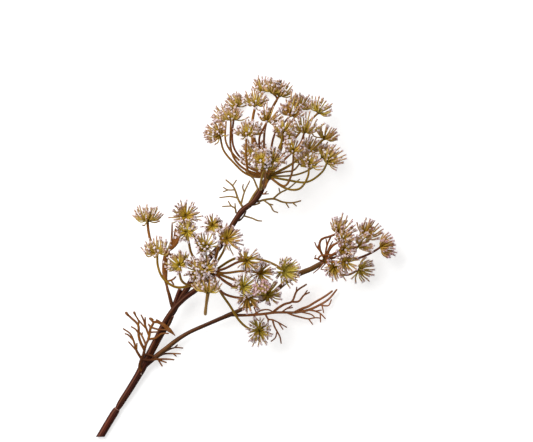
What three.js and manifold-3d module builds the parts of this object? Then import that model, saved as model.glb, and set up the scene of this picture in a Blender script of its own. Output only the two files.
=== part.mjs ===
// A cut dill stem lying on a surface: a reddish main stem with two side branches, three
// compound umbels, and thread leaves at its joints. Millimetres, +Z up. The origin is on the
// surface, under the middle of the whole stem.
//
// Every place below is read off a sheet spread on that surface, in millimetres: x runs to the
// right, y runs down the sheet, and z is the height above it.

import * as THREE from "three";
import { mergeVertices } from "three/addons/utils/BufferGeometryUtils.js";
import Module from "manifold-3d";

const wasm = await Module();
wasm.setup();

const SHEET_MIDDLE = { x: 245.6, y: 257.6 };
const SEAT_GAP = 0.3;
const CUT_END_Y = 437.4;
const SMALLEST_EDGE = 0.02;

const STEM_SIDES = 8;
const STEM_STEP = 12;
const RAY_SIDES = 3;
const RAY_STEP = 17;
const RAY_RADIUS = { hub: 1.3, umbellet: 1.1 };
const LEAF_SIDES = 3;
const LEAF_STEP = 16;

const PEDICEL = { length: 14.3, spread: 1, sides: 3, rootRadius: 0.3, tipRadius: 0.95 };
const PEDICEL_TRIES = 8;
const LOWEST_TIP = 0.5;
const CORE_RADIUS = 2.2;
const GOLDEN_ANGLE = Math.PI * (3 - Math.sqrt(5));

// Stem routes: each point is [x, y, height, radius]
const MAIN_STEM = [
  [97.5, 441.3, 3, 3.5], [108, 423.6, 3.5, 3.5], [114.5, 413.3, 4.3, 3.6],
  [116.9, 409.5, 4.7, 3.6], [119.6, 405.6, 5.1, 2.9], [122.6, 400.8, 5.5, 3.3],
  [128.9, 390.6, 6.6, 3.3], [138, 375.8, 8, 3.4], [141.4, 370, 8.9, 3.7], [145, 363, 10, 3.7],
  [150.6, 352.5, 11.5, 3.7], [158.6, 337, 14, 3.8], [163.7, 328, 15.7, 3.7],
  [167.5, 320.5, 17, 3.5], [172.4, 312.5, 18.8, 3.2], [175.5, 307, 19.6, 2.9],
  [178.5, 301.5, 20.6, 2.8], [182.5, 295, 21.8, 2.8], [187.3, 288, 23.3, 3],
  [190.5, 282.4, 24.5, 3], [198, 270.5, 27, 3], [205, 263, 29, 3], [211, 256, 31, 3],
  [218.5, 248, 33, 3], [223.5, 240.5, 35.6, 3], [228.5, 232.5, 37.8, 3], [232.5, 225, 39.5, 2.8],
  [238.8, 215.3, 41.8, 2.8], [241.5, 211.6, 42.7, 3.2], [244.8, 208.3, 43.6, 2.8],
  [250.2, 204.3, 45, 2.6], [254.4, 200.5, 46.2, 2.8], [257.4, 196.5, 47.1, 2.8],
  [260.5, 191.5, 48, 2.6], [263, 185.5, 49.4, 2.7], [266.8, 179.3, 50.7, 2.7],
];
// A dry sheath tip stands against the stem above the second joint
const SHEATH_TIP = [[172.8, 311, 19, 2.6], [176.2, 300, 21, 2.4], [180, 289.5, 23.3, 2]];
const SMALL_BRACT = [[259, 195, 47.6, 1.2], [263.8, 194, 47, 0.9], [268, 194, 46.5, 0.7]];
const MIDDLE_BRANCH = [
  [158.8, 334.6, 14.8, 2.2], [161.3, 328.5, 17.8, 2.5], [165.8, 320.5, 20.8, 2.5],
  [168.4, 316.5, 22, 2.5], [171.2, 312.5, 23.4, 2.6], [175.5, 306.9, 25.3, 2.6],
  [184.3, 298.4, 28, 2.5], [190, 294, 30.6, 2.5], [195.2, 290.3, 33, 2.6], [205.5, 281, 38, 2.7],
  [210.5, 274.8, 41, 2.8],
];
const RIGHT_BRANCH = [
  [144.5, 366.5, 9.4, 2.4], [150, 361.3, 9.9, 2.7], [158.5, 354.6, 10.8, 2.6],
  [166.5, 348.4, 11.4, 2.5], [174.5, 341.9, 11.9, 2.3], [182.5, 336.4, 12.4, 2.1],
  [190.5, 331.9, 13, 2], [206.5, 324.8, 14.5, 2], [222.5, 317.9, 16.4, 2.1],
  [230.5, 314.5, 17.3, 2.4], [238.5, 311, 18.4, 2], [254.5, 303.3, 20.6, 1.9],
  [263.5, 299.3, 21.8, 1.9], [270.5, 295.4, 22.8, 1.9], [278.5, 288.4, 24.6, 1.9],
  [286.5, 281.9, 26, 1.9], [294.5, 276.8, 27.4, 1.9], [302.5, 273, 28.5, 1.9],
  [310.5, 270, 30, 1.9], [318, 265.2, 31.7, 2.5], [323, 262, 32.6, 2.1],
];

// Umbels. Each umbellet: the place of its core, the way it faces [right, up the sheet, up off
// the surface], and the points that its ray passes between the hub and the core.
const TOP_UMBEL = {
  seed: 11, hub: [268.5, 176.3, 51], hubRadii: [4.4, 3.8, 4], pedicels: 9,
  umbellets: [
    { at: [220, 135, 77], faces: [-1, 0.8, 0.5],
      ray: [[243, 170, 57], [230, 157, 66], [222, 146, 73]] },
    { at: [226, 119.5, 36], faces: [-0.7, 1, -0.3],
      ray: [[241, 161, 49], [229, 147, 46], [223, 133, 41]] },
    { at: [231, 119.8, 58], faces: [-0.1, 1, 0.2],
      ray: [[249, 173, 54], [233, 158, 60], [230, 140, 61]] },
    { at: [236.8, 106.7, 8], faces: [-0.6, 1, 0],
      ray: [[248, 162, 44], [234, 150, 34], [231, 133, 25]] },
    { at: [255.5, 104.5, 60], faces: [0, 0.8, 0.7],
      ray: [[262, 160, 56], [254, 138, 61], [252.4, 120, 63]] },
    { at: [263.3, 91.3, 9], faces: [0, 1, 0],
      ray: [[261.5, 158, 44], [254, 136, 38], [253, 120, 30], [257, 103, 18]] },
    { at: [272, 92.3, 40], faces: [0.2, 1, 0],
      ray: [[264, 146, 43], [266, 124, 38], [273.5, 106, 34], [277, 98.5, 34]] },
    { at: [279.5, 95.5, 36], faces: [0.3, 1, 0],
      ray: [[264, 142, 50], [266, 124, 45], [273, 106, 40]] },
    { at: [246.9, 134.8, 90], faces: [-0.2, 1, 0.8],
      ray: [[256, 177, 60], [247, 166, 72], [245, 150, 84]] },
    { at: [252, 134.5, 54], faces: [0, 1, 0.2], ray: [[260, 165, 55], [254, 148, 56]] },
    { at: [267.5, 121, 76], faces: [0.3, 1, 0.5], ray: [[262, 158, 62], [259.5, 138, 72]] },
    { at: [290.4, 115.6, 68], faces: [0.3, 1, 0.4],
      ray: [[271, 150, 58], [275, 134, 64], [284, 123, 68]] },
    { at: [300, 108, 8], faces: [0.3, 1, 0], ray: [[278, 150, 42], [290, 125, 26]] },
    { at: [318.5, 112.5, 32], faces: [0.7, 1, 0], ray: [[285, 152, 44], [305, 126, 36]] },
    { at: [283.5, 132, 94], faces: [0.1, 1, 0.8], ray: [[276, 168, 66], [280, 148, 84]] },
    { at: [304.5, 132, 66], faces: [0.1, 1, 0.3], ray: [[284, 160, 58], [300, 144, 64]] },
    { at: [324.5, 138.5, 40], faces: [0.5, 1, 0], ray: [[290, 165, 48], [312, 150, 43]] },
    { at: [327.8, 161, 74], faces: [1, 0.7, 0.4],
      ray: [[287, 180, 60], [307, 182, 68], [322, 172, 73]] },
    { at: [308.4, 163.6, 96], faces: [0.2, 1, 0.8],
      ray: [[285, 188, 58], [299, 189, 70], [308, 176, 86]] },
    { at: [293.2, 151.7, 104], faces: [0.1, 1, 0.9],
      ray: [[284, 186, 60], [291, 176, 76], [293, 162, 92]] },
    { at: [300, 163, 22], faces: [0.6, 0.6, -0.3], ray: [[284, 172, 42], [294, 170, 30]] },
    { at: [322.5, 157, 26], faces: [1, 0.6, -0.2], ray: [[295, 175, 42], [312, 168, 32]] },
    { at: [309, 150, 8], faces: [0.5, 0.8, -0.2], ray: [[286, 168, 38], [300, 158, 23]] },
    { at: [266.5, 168.5, 109], faces: [0, 0.8, 1],
      ray: [[261, 186, 57], [258.5, 189.5, 66], [261, 182, 84], [264, 174, 98]] },
    { at: [251.5, 158, 98], faces: [-0.7, 0.6, 0.8], ray: [[259, 178, 62], [252, 170, 80]] },
    { at: [240, 150, 8], faces: [-0.5, 0.8, -0.2], ray: [[254, 168, 36], [245, 160, 24]] },
    { at: [284, 138, 8], faces: [0.1, 1, -0.1], ray: [[275, 163, 36], [281, 150, 22]] },
  ],
};
const MIDDLE_UMBEL = {
  seed: 23, hub: [212.5, 272, 42], hubRadii: [4.6, 4.2, 4], pedicels: 9,
  umbellets: [
    { at: [148, 220.5, 48], faces: [-0.2, 1, 0.3],
      ray: [[190, 262, 46], [165, 252, 46], [152, 241, 47], [148, 230, 47]] },
    { at: [157.3, 252, 66], faces: [-0.2, 1, 0.5],
      ray: [[191, 285, 50], [176, 287, 56], [163, 278, 61], [158, 266, 64]] },
    { at: [186, 216, 74], faces: [0, 0.3, 1], ray: [[204, 260, 52], [197, 242, 64], [191, 228, 71]] },
    { at: [187.2, 232, 84], faces: [-0.2, 0.6, 1], ray: [[193, 256, 62], [189, 243, 76]] },
    { at: [179.9, 265.6, 92], faces: [-0.4, 0.3, 1],
      ray: [[195, 286, 56], [183, 282, 72], [180, 274, 84]] },
    { at: [207.7, 292.5, 88], faces: [0, 0.5, 1],
      ray: [[209, 290, 44], [205.3, 311, 50], [205.5, 314, 60], [206.5, 303, 76]] },
    { at: [198, 271, 100], faces: [-0.2, 0.2, 1], ray: [[204, 276, 60], [199, 276, 80]] },
    { at: [205.5, 269.5, 104], faces: [0, 0.2, 1], ray: [[208, 272, 65], [206, 272, 85]] },
    { at: [212.8, 225.5, 82], faces: [0, 0.4, 1],
      ray: [[214.5, 262, 54], [219, 246, 64], [222, 232, 72], [219.5, 224, 76]] },
    { at: [205.8, 245, 96], faces: [0, 0.5, 1], ray: [[207, 258, 64], [205.5, 250, 82]] },
    { at: [227, 239, 88], faces: [0.3, 0.4, 1], ray: [[216, 264, 56], [224, 250, 74]] },
    { at: [246.7, 260.8, 86], faces: [0.4, 0, 1], ray: [[225, 268.4, 58], [238, 262, 72]] },
    { at: [260.2, 272.8, 72], faces: [0.5, 0, 1], ray: [[225, 273, 52], [243, 271, 62]] },
    { at: [284.8, 270.8, 58], faces: [0.8, 0.1, 0.7],
      ray: [[237, 258, 50], [262, 260, 55], [277, 266, 58]] },
    { at: [243.4, 287, 84], faces: [0.3, 0.2, 1], ray: [[228, 283, 60], [237, 286, 74]] },
    { at: [248.8, 297.6, 74], faces: [0.3, -0.5, 0.8], ray: [[221, 291, 52], [234, 297, 64]] },
    { at: [266.7, 294, 66], faces: [0.5, 0.1, 0.9], ray: [[232, 286, 52], [252, 292, 62]] },
    { at: [259, 331, 33], faces: [0.2, -0.3, 1],
      ray: [[220, 291, 42], [230, 306, 37], [240, 321.5, 33], [249, 328.8, 32]] },
  ],
};
const RIGHT_UMBEL = {
  seed: 37, hub: [325.5, 260.5, 33], hubRadii: [3.6, 3.4, 3.2], pedicels: 9,
  umbellets: [
    { at: [339.5, 231, 46], faces: [0.4, 1, 0.3],
      ray: [[320, 249, 38], [321, 240, 42], [331, 236, 45]] },
    { at: [341.3, 238, 58], faces: [1, 0.3, 0.6], ray: [[328, 250, 43], [335, 242, 53]] },
    { at: [343, 250, 64], faces: [0.5, 0.1, 1], ray: [[332, 255, 46], [339, 251, 57]] },
    { at: [334.1, 267, 54], faces: [0.2, -0.6, 1], ray: [[329, 265, 40], [332, 268, 48]] },
    { at: [359.9, 269.3, 8], faces: [0.8, 0, 0.2], ray: [[335, 272, 30], [347, 275, 22]] },
    { at: [345, 262, 66], faces: [0.4, -0.2, 1], ray: [[333, 262, 48], [341, 262, 60]] },
    { at: [358.6, 246.2, 42], faces: [0.6, 0.6, 0.6], ray: [[336, 257, 38], [351, 248, 42]] },
    { at: [368, 233, 22], faces: [0.5, 1, 0], ray: [[340, 250, 32], [355, 238, 26]] },
    { at: [381, 247, 30], faces: [1, 0.2, 0.2], ray: [[345, 262, 34], [362, 257, 33], [373, 252, 31]] },
  ],
  bracts: [
    [0.8, 0.5, [[325.5, 260, 34], [326, 248, 38], [326.6, 239.4, 36]]],
    [0.8, 0.5, [[325.5, 259, 34], [318.6, 249, 36], [315.2, 242.3, 34]]],
    [0.8, 0.5, [[325, 260.5, 34], [320.3, 259.2, 37], [314.6, 256.5, 37]]],
    [0.7, 0.5, [[325.8, 255, 36], [330, 244, 36], [332.4, 240, 35]]],
    [0.8, 0.5, [[325, 261, 34.5], [319.8, 270, 37.5], [313.4, 273.3, 37]]],
  ],
};

// Leaves. Each lies along a gently waved sheet of its own, which is height high at the point
// over, and rises by rise for each millimetre to the right and up the sheet. Each strand is
// its radius at the root, its radius at the tip, and its points [x, y], where the first may
// have a height of its own inside the stem that carries it.
const LOWER_LEAF = {
  over: [142, 360], height: 16.3, rise: [0.02, 0.14], wave: 0.5,
  strands: [
    [1.6, 1.2, [[142, 369, 10], [139.9, 366.2, 13.5], [141.5, 359.5], [143.5, 354.5],
      [145.5, 344.8], [148.1, 339.7]]],
    [1.2, 0.8, [[148.1, 339.7], [149.1, 335.6], [150.6, 327.4], [153.2, 322.9], [150.1, 318.8]]],
    [0.9, 0.5, [[141.5, 359.5], [136.3, 351], [134.8, 345.8], [132.2, 338.2], [129.7, 333.6],
      [123.1, 329]]],
    [0.6, 0.5, [[132.8, 340.2], [127.7, 335], [125, 334]]],
    [0.6, 0.5, [[136.3, 351], [131.7, 345.8], [128.4, 342.2]]],
    [0.6, 0.5, [[136.3, 351], [136.6, 343.8]]],
    [1, 0.7, [[144.3, 350], [140.4, 342.8], [138.4, 335.6], [137.9, 325.4], [131.2, 318.3],
      [125.6, 313.2]]],
    [0.6, 0.5, [[138.2, 333.5], [135.3, 329.5], [131.2, 327]]],
    [0.7, 0.5, [[137.9, 325.4], [138.6, 321.8], [133.8, 313.2]]],
    [0.6, 0.5, [[146.3, 329], [141.9, 324.4], [138.4, 320.3]]],
    [0.7, 0.5, [[145.4, 344.3], [141.4, 335.6], [138.6, 331.5]]],
    [0.8, 0.5, [[149, 336], [146.5, 330], [143, 319.3], [140.9, 315.2]]],
    [0.6, 0.5, [[145.2, 326], [145, 317.8]]],
    [0.8, 0.5, [[148.1, 339.7], [156.7, 337.7], [160.8, 334], [168, 333.6]]],
    [0.6, 0.5, [[149.1, 335.6], [155.2, 332]]],
    [0.7, 0.5, [[150.6, 327.4], [157.8, 329.5], [165.9, 330]]],
    [1.2, 0.6, [[153, 322.2], [160.8, 323], [168.5, 328.5], [174.6, 335.6]]],
    [0.7, 0.5, [[143.5, 354.5], [150.6, 355.5], [155.7, 358]]],
    [0.9, 0.5, [[141.5, 359.5], [148.6, 360.4], [155.7, 359.6], [168.5, 359.5], [173.6, 360.1]]],
    [0.6, 0.5, [[156.7, 359.6], [165.9, 362.7]]],
    [0.6, 0.5, [[157.8, 359.6], [161.8, 366.2]]],
  ],
};
const LOWER_BACK_LEAF = {
  over: [160, 355], height: 5, rise: [0.04, 0.02], wave: 0.4,
  strands: [
    [1, 0.5, [[145.5, 365.5, 7], [154, 360, 5], [162.9, 354.6], [173.6, 354], [180.2, 354.2]]],
    [0.6, 0.5, [[172.8, 354], [175.9, 356.5]]],
    [0.8, 0.5, [[157, 358], [164.9, 352], [174.6, 348], [182.5, 348.4]]],
    [0.6, 0.5, [[174.4, 348], [177, 345.4]]],
  ],
};
const TALL_LEAF = {
  over: [168, 290], height: 21.5, rise: [-0.02, 0.03], wave: 0.6,
  strands: [
    [1.9, 1.4, [[175, 312, 19], [171.9, 307.6, 21], [170.4, 301], [167.9, 293.3], [165.3, 285.6],
      [163.8, 278]]],
    [1.3, 2.4, [[164.6, 282], [163.5, 277], [163.4, 271]]],
    [2.4, 1.8, [[163.4, 271], [163.8, 265.2], [165.6, 255], [168, 249.6]]],
    [1.8, 1.5, [[168, 249.6], [173.1, 247.8], [177, 243], [178.9, 238.3], [179.2, 232.5]]],
    [1.2, 0.9, [[171.2, 249], [171.1, 239.7], [172.6, 228.7], [171.6, 223]]],
    [1.2, 1.1, [[173.6, 247.4], [174.9, 238.3], [175.4, 229]]],
    [0.8, 0.5, [[164.5, 281.6], [170.4, 280.5], [173.5, 279], [175.5, 277]]],
    [0.6, 0.5, [[170.8, 280.4], [173.5, 284.6]]],
  ],
};
const RIGHT_LEAF = {
  over: [230, 315], height: 16.5, rise: [-0.1, 0.02], wave: 0.7,
  strands: [
    [1.3, 1.8, [[225, 316.6, 16.6], [230.4, 315.4, 16.4], [238.3, 315.5]]],
    [1.8, 1.2, [[238.3, 315.5], [248.4, 315.3], [261.8, 314.4], [275.2, 312.8], [295.3, 312.8]]],
    [1.2, 0.6, [[295.3, 312.8], [308.7, 310.1], [320.7, 304.7], [328.8, 299.4], [336.8, 290]]],
    [0.8, 0.5, [[253.8, 314.8], [260.5, 310.8], [268.5, 310], [273.8, 312.6]]],
    [0.8, 0.5, [[272.6, 312.9], [278.5, 308], [284.6, 304.4], [291.9, 301.8], [297, 291.2],
      [306.3, 284.7]]],
    [0.6, 0.5, [[296.3, 292], [296.8, 287.5]]],
    [0.7, 0.5, [[291.4, 302], [298.6, 301.6], [304, 295.4], [309.3, 292.7]]],
    [0.6, 0.5, [[304, 295.4], [307.3, 290.7]]],
    [0.7, 0.5, [[281.9, 312.7], [285.9, 309.4], [292.6, 307.7]]],
    [0.6, 0.5, [[285.9, 309.4], [291.9, 305.7]]],
    [1.3, 0.6, [[294.3, 312.8], [302, 309], [308, 306.8], [315.4, 302.3], [325.4, 296.4],
      [332.1, 291.5]]],
    [0.7, 0.5, [[320, 305.1], [325.4, 306], [328.8, 305.7], [331.5, 300]]],
    [0.6, 0.5, [[322.1, 305.3], [323.8, 312.8]]],
    [0.8, 0.5, [[308.7, 310.1], [315.4, 311.4], [320.7, 314], [325.4, 318.8]]],
    [0.6, 0.5, [[315.4, 311.4], [321.4, 310.4]]],
    [0.6, 0.5, [[320.4, 313.8], [320.7, 322.2]]],
    [0.8, 0.5, [[287, 312.8], [291.9, 315], [302, 317.8], [308.7, 319.1], [315.4, 318],
      [320.7, 318.4]]],
    [0.6, 0.5, [[308.7, 319.1], [312.7, 324.5]]],
    [0.6, 0.5, [[301, 312.3], [311.4, 314.8], [314.7, 317.5]]],
    [0.7, 0.5, [[257.8, 314.7], [256.4, 312.8], [253.8, 307.4]]],
    [0.7, 0.5, [[252.8, 315.1], [258.4, 320.8]]],
    [0.8, 0.5, [[265.2, 314.2], [268.5, 319.5], [272.5, 320], [278.5, 322.8], [286.6, 327.5]]],
    [0.6, 0.5, [[278.5, 322.8], [282.9, 329.5]]],
    [0.7, 0.5, [[268.2, 319.3], [267.8, 329], [267.8, 339.6]]],
    [0.8, 0.5, [[272.5, 320], [274.5, 326.8], [279.9, 337], [281.2, 343.6]]],
    [0.6, 0.5, [[277, 332.2], [275.2, 338.2], [271.2, 341.6]]],
  ],
};
const UPPER_LEFT_LEAF = {
  over: [242, 206.8], height: 42, rise: [0.14, 0], wave: 0.5,
  strands: [
    [1, 0.6, [[244.5, 209.5, 43.5], [242, 206], [238.5, 200], [235, 190], [232.3, 185.5], [226, 180]]],
    [0.6, 0.5, [[232.5, 185.8], [236.4, 180.2]]],
    [0.6, 0.5, [[234.9, 189.8], [227.8, 189.8], [223.4, 187.4]]],
    [0.6, 0.5, [[228.2, 189.8], [223.4, 191.7]]],
    [0.7, 0.5, [[237.7, 198], [230.6, 196.5], [219.8, 197.6]]],
    [0.8, 0.5, [[241, 204.4], [244.3, 192.3], [249.7, 181]]],
    [0.6, 0.5, [[244.3, 192.3], [242.7, 187.4], [243.2, 184.6]]],
  ],
};
const UPPER_JOINT_LEAF = {
  over: [236, 213], height: 40, rise: [0.1, 0], wave: 0.4,
  strands: [
    [0.9, 0.5, [[240, 214, 41.5], [236.2, 212.6], [235.2, 208.4], [231.2, 205.8], [228.3, 201.2]]],
    [0.6, 0.5, [[231.6, 206], [222.5, 206.4]]],
    [0.6, 0.5, [[235.3, 208.6], [235, 203.6]]],
  ],
};
const HUB_LEAF = {
  over: [251, 199], height: 44, rise: [0, -0.3], wave: 0.2,
  strands: [[0.9, 0.5, [[253.2, 201.2, 46], [251.4, 198], [255, 190], [254.1, 178.8], [247.8, 172.6]]]],
};
const INNER_RIGHT_LEAF = {
  over: [239, 220.6], height: 38, rise: [-0.1, -0.1], wave: 0.3,
  strands: [
    [0.9, 0.5, [[234.8, 220, 40], [239.5, 220.3], [244, 215.4], [246, 211.5]]],
    [0.7, 0.5, [[243.7, 215.8], [252, 218.2], [257.7, 220.6], [261.6, 221]]],
  ],
};
const UPPER_RIGHT_LEAF = {
  over: [257, 201], height: 44.5, rise: [-0.14, -0.05], wave: 0.6,
  strands: [
    [1, 0.6, [[254, 200.5, 46], [257.5, 201.5, 45], [263.8, 199.9], [273.5, 198.8],
      [283.3, 202.1], [293, 202.6], [300.6, 200.8]]],
    [0.6, 0.5, [[285.5, 202.3], [288.7, 207.5]]],
    [0.6, 0.5, [[292.6, 202.6], [296.3, 205.9]]],
    [0.8, 0.5, [[273, 198.9], [280, 192.9], [287.6, 189], [299.5, 179.3]]],
    [0.6, 0.5, [[280, 192.9], [279, 188.5]]],
    [0.7, 0.5, [[263.4, 200], [270.3, 205.3], [273.6, 210.9], [277.6, 212.4]]],
    [0.6, 0.5, [[268.5, 203.8], [272.8, 204.8]]],
  ],
};

const COLOURS = {
  stem: { color: 0x5a2a1e, roughness: 0.55 },
  branch: { color: 0x5c3c20, roughness: 0.55 },
  umbel: { color: 0x8f7a2c, roughness: 0.6 },
  leaf: { color: 0x80501e, roughness: 0.7 },
  upperLeaf: { color: 0x7a5c30, roughness: 0.7 },
};

const place = ([x, y, z]) => new THREE.Vector3(x - SHEET_MIDDLE.x, SHEET_MIDDLE.y - y, z);

// The same draws each time: a Park and Miller sequence from its seed
function seededDraw(seed) {
  let state = seed;
  return () => {
    state = (state * 16807) % 2147483647;
    return state / 2147483647;
  };
}

function solid(geometry) {
  geometry.deleteAttribute("normal");
  geometry.deleteAttribute("uv");
  const closed = mergeVertices(geometry);
  return new wasm.Manifold(new wasm.Mesh({
    numProp: 3,
    vertProperties: new Float32Array(closed.getAttribute("position").array),
    triVerts: new Uint32Array(closed.getIndex().array),
  }));
}

const join = (solids) => wasm.Manifold.union(solids);

// A closed cylinder is bent along the curve, with a radius that changes along it. It can be
// grown all round, its ends too, to cut the clearance for what it carries.
function bentRod(curve, radiusAt, sides, steps, grow = 0) {
  const { tangents, normals, binormals } = curve.computeFrenetFrames(steps, false);
  const rod = new THREE.CylinderGeometry(1, 1, 1, sides, steps);
  const corners = rod.getAttribute("position");
  for (let i = 0; i < corners.count; i += 1) {
    const ring = Math.round((corners.getY(i) + 0.5) * steps);
    const radius = radiusAt(ring / steps) + grow;
    const past = ring === 0 ? -grow : Number(ring === steps) * grow;
    const corner = curve.getPointAt(ring / steps)
      .addScaledVector(tangents[ring], past)
      .addScaledVector(binormals[ring], corners.getX(i) * radius)
      .addScaledVector(normals[ring], corners.getZ(i) * radius);
    corners.setXYZ(i, corner.x, corner.y, corner.z);
  }
  return solid(rod);
}

// A rod through points that each have a radius
function rod(points, sides, step, grow = 0) {
  const curve = new THREE.CatmullRomCurve3(points.map(place), false, "centripetal");
  const radiusAt = (along) => {
    const position = curve.getUtoTmapping(along) * (points.length - 1);
    const from = Math.min(Math.floor(position), points.length - 2);
    return THREE.MathUtils.lerp(points[from][3], points[from + 1][3], position - from);
  };
  const steps = Math.max(points.length > 2 ? 2 : 1, Math.round(curve.getLength() / step));
  return bentRod(curve, radiusAt, sides, steps, grow);
}

const stem = (points, grow) => rod(points, STEM_SIDES, STEM_STEP, grow);

function leafSolid(leaf, grow = 0) {
  const heightAt = ([x, y]) => leaf.height
    + leaf.rise[0] * (x - leaf.over[0]) + leaf.rise[1] * (leaf.over[1] - y)
    + leaf.wave * Math.sin(x / 7) * Math.sin(y / 6);
  const rods = leaf.strands.map(([root, tip, points]) => rod(points.map((point, i) => [
    point[0], point[1], point[2] ?? heightAt(point),
    THREE.MathUtils.lerp(root, tip, i / (points.length - 1)),
  ]), LEAF_SIDES, LEAF_STEP, grow));
  return join(rods);
}

// Pedicel directions are spread evenly over a cap round the way that the umbellet faces
function pedicelWay(facing, index, count, turn, draw) {
  const aside = new THREE.Vector3(0, 0, 1).cross(facing);
  if (aside.length() < 0.1) aside.set(1, 0, 0);
  aside.normalize();
  const across = new THREE.Vector3().crossVectors(facing, aside);
  const rise = 1 - ((index + 0.5) / count) * PEDICEL.spread;
  const reach = Math.sqrt(1 - rise * rise);
  const angle = index * GOLDEN_ANGLE + turn + 0.5 * draw();
  return new THREE.Vector3()
    .addScaledVector(facing, rise)
    .addScaledVector(aside, reach * Math.cos(angle))
    .addScaledVector(across, reach * Math.sin(angle));
}

// A pedicel runs from the core to its floret, leaning a little the way that the umbellet faces
function pedicelRod(core, facing, way, length) {
  const tip = core.clone().addScaledVector(way, length * 0.9)
    .addScaledVector(facing, length * 0.15);
  tip.z = Math.max(tip.z, LOWEST_TIP);
  const radiusAt = (along) => THREE.MathUtils.lerp(PEDICEL.rootRadius, PEDICEL.tipRadius, along);
  return bentRod(new THREE.LineCurve3(core, tip), radiusAt, PEDICEL.sides, 1);
}

// A pedicel that would touch a stem or a leaf is turned aside until it is clear of them
function umbelletSolids(umbellet, umbel, draw, keepClear) {
  const core = place(umbellet.at);
  const facing = new THREE.Vector3(...umbellet.faces).normalize();
  const solids = [solid(new THREE.OctahedronGeometry(CORE_RADIUS)
    .translate(core.x, core.y, core.z))];
  for (let index = 0; index < umbel.pedicels; index += 1) {
    const length = PEDICEL.length * (0.88 + 0.24 * draw());
    const turns = Array.from({ length: PEDICEL_TRIES }, (_, i) => i * 0.3);
    const rods = turns.map((turn) => pedicelRod(
      core, facing, pedicelWay(facing, index, umbel.pedicels, turn, draw), length));
    const clear = rods.find((pedicel) => pedicel.intersect(keepClear).isEmpty());
    if (clear) solids.push(clear);
  }
  return solids;
}

function umbelSolid(umbel, keepClear) {
  const draw = seededDraw(umbel.seed);
  const hub = place(umbel.hub);
  const solids = [solid(new THREE.SphereGeometry(1, 8, 6).rotateX(Math.PI / 2)
    .scale(...umbel.hubRadii).translate(hub.x, hub.y, hub.z))];
  for (const umbellet of umbel.umbellets) {
    const points = [umbel.hub, ...umbellet.ray, umbellet.at];
    const taper = points.map((point, i) => [...point,
      THREE.MathUtils.lerp(RAY_RADIUS.hub, RAY_RADIUS.umbellet, i / (points.length - 1))]);
    solids.push(rod(taper, RAY_SIDES, RAY_STEP));
    solids.push(...umbelletSolids(umbellet, umbel, draw, keepClear));
  }
  for (const [root, tip, points] of umbel.bracts ?? []) {
    const taper = points.map((point, i) => [...point,
      THREE.MathUtils.lerp(root, tip, i / (points.length - 1))]);
    solids.push(rod(taper, LEAF_SIDES, LEAF_STEP));
  }
  return join(solids);
}

// Whatever reaches below the surface is pressed flat on it, and loose scraps are dropped
const UNDER_SURFACE = solid(new THREE.BoxGeometry(400, 460, 40).translate(0, 0, -20));
const PAST_CUT_END = solid(new THREE.BoxGeometry(400, 20, 400)
  .translate(0, SHEET_MIDDLE.y - CUT_END_Y - 10, 0));

function finished(body) {
  const bodies = body.subtract(UNDER_SURFACE).simplify(SMALLEST_EDGE).decompose();
  return bodies.sort((a, b) => b.volume() - a.volume())[0];
}

const plant = new THREE.Group();
plant.name = "dill_stem";

function addPiece(name, body, look) {
  const mesh = finished(body).getMesh();
  const geometry = new THREE.BufferGeometry();
  geometry.setAttribute("position", new THREE.BufferAttribute(mesh.vertProperties, 3));
  geometry.setIndex(new THREE.BufferAttribute(mesh.triVerts, 1));
  geometry.computeVertexNormals();
  const piece = new THREE.Mesh(geometry, new THREE.MeshStandardMaterial({ ...look, metalness: 0 }));
  piece.name = name;
  plant.add(piece);
}

const mainStem = join([stem(MAIN_STEM), stem(SHEATH_TIP), rod(SMALL_BRACT, LEAF_SIDES, LEAF_STEP)])
  .subtract(PAST_CUT_END);
const roundMainStem = join([stem(MAIN_STEM, SEAT_GAP), stem(SHEATH_TIP, SEAT_GAP),
  rod(SMALL_BRACT, LEAF_SIDES, LEAF_STEP, SEAT_GAP)]);
const rightBranch = stem(RIGHT_BRANCH).subtract(roundMainStem);
const roundRightBranch = stem(RIGHT_BRANCH, SEAT_GAP);
const middleBranch = stem(MIDDLE_BRANCH).subtract(roundMainStem);
const roundMiddleBranch = stem(MIDDLE_BRANCH, SEAT_GAP);
const roundStems = join([roundMainStem, roundRightBranch, roundMiddleBranch]);

addPiece("main_stem", mainStem, COLOURS.stem);
addPiece("middle_branch", middleBranch, COLOURS.stem);
addPiece("right_branch", rightBranch, COLOURS.branch);

const leaves = [
  ["lower_leaf", LOWER_LEAF, COLOURS.leaf],
  ["lower_back_leaf", LOWER_BACK_LEAF, COLOURS.leaf],
  ["tall_leaf", TALL_LEAF, COLOURS.leaf],
  ["right_leaf", RIGHT_LEAF, COLOURS.leaf],
  ["upper_left_leaf", UPPER_LEFT_LEAF, COLOURS.upperLeaf],
  ["upper_joint_leaf", UPPER_JOINT_LEAF, COLOURS.upperLeaf],
  ["hub_leaf", HUB_LEAF, COLOURS.upperLeaf],
  ["inner_right_leaf", INNER_RIGHT_LEAF, COLOURS.upperLeaf],
  ["upper_right_leaf", UPPER_RIGHT_LEAF, COLOURS.upperLeaf],
];
for (const [name, leaf, look] of leaves) {
  addPiece(name, leafSolid(leaf).subtract(roundStems), look);
}
const keepClear = join([roundStems, ...leaves.map(([, leaf]) => leafSolid(leaf, SEAT_GAP))]);

const umbels = [
  ["top_umbel", TOP_UMBEL],
  ["middle_umbel", MIDDLE_UMBEL],
  ["right_umbel", RIGHT_UMBEL],
];
for (const [name, umbel] of umbels) {
  addPiece(name, umbelSolid(umbel, keepClear).subtract(roundStems), COLOURS.umbel);
}

export default plant;
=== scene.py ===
# A cut dill stem lying on a pale surface: a ribbed, reddish stalk with two side branches, three
# compound umbels of frosted florets, and thread leaves at its joints.
#
# Every place below is read off a sheet spread on that surface, in millimetres: x runs to the
# right, y runs down the sheet, and z is the height above it.

import math
import random

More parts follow.
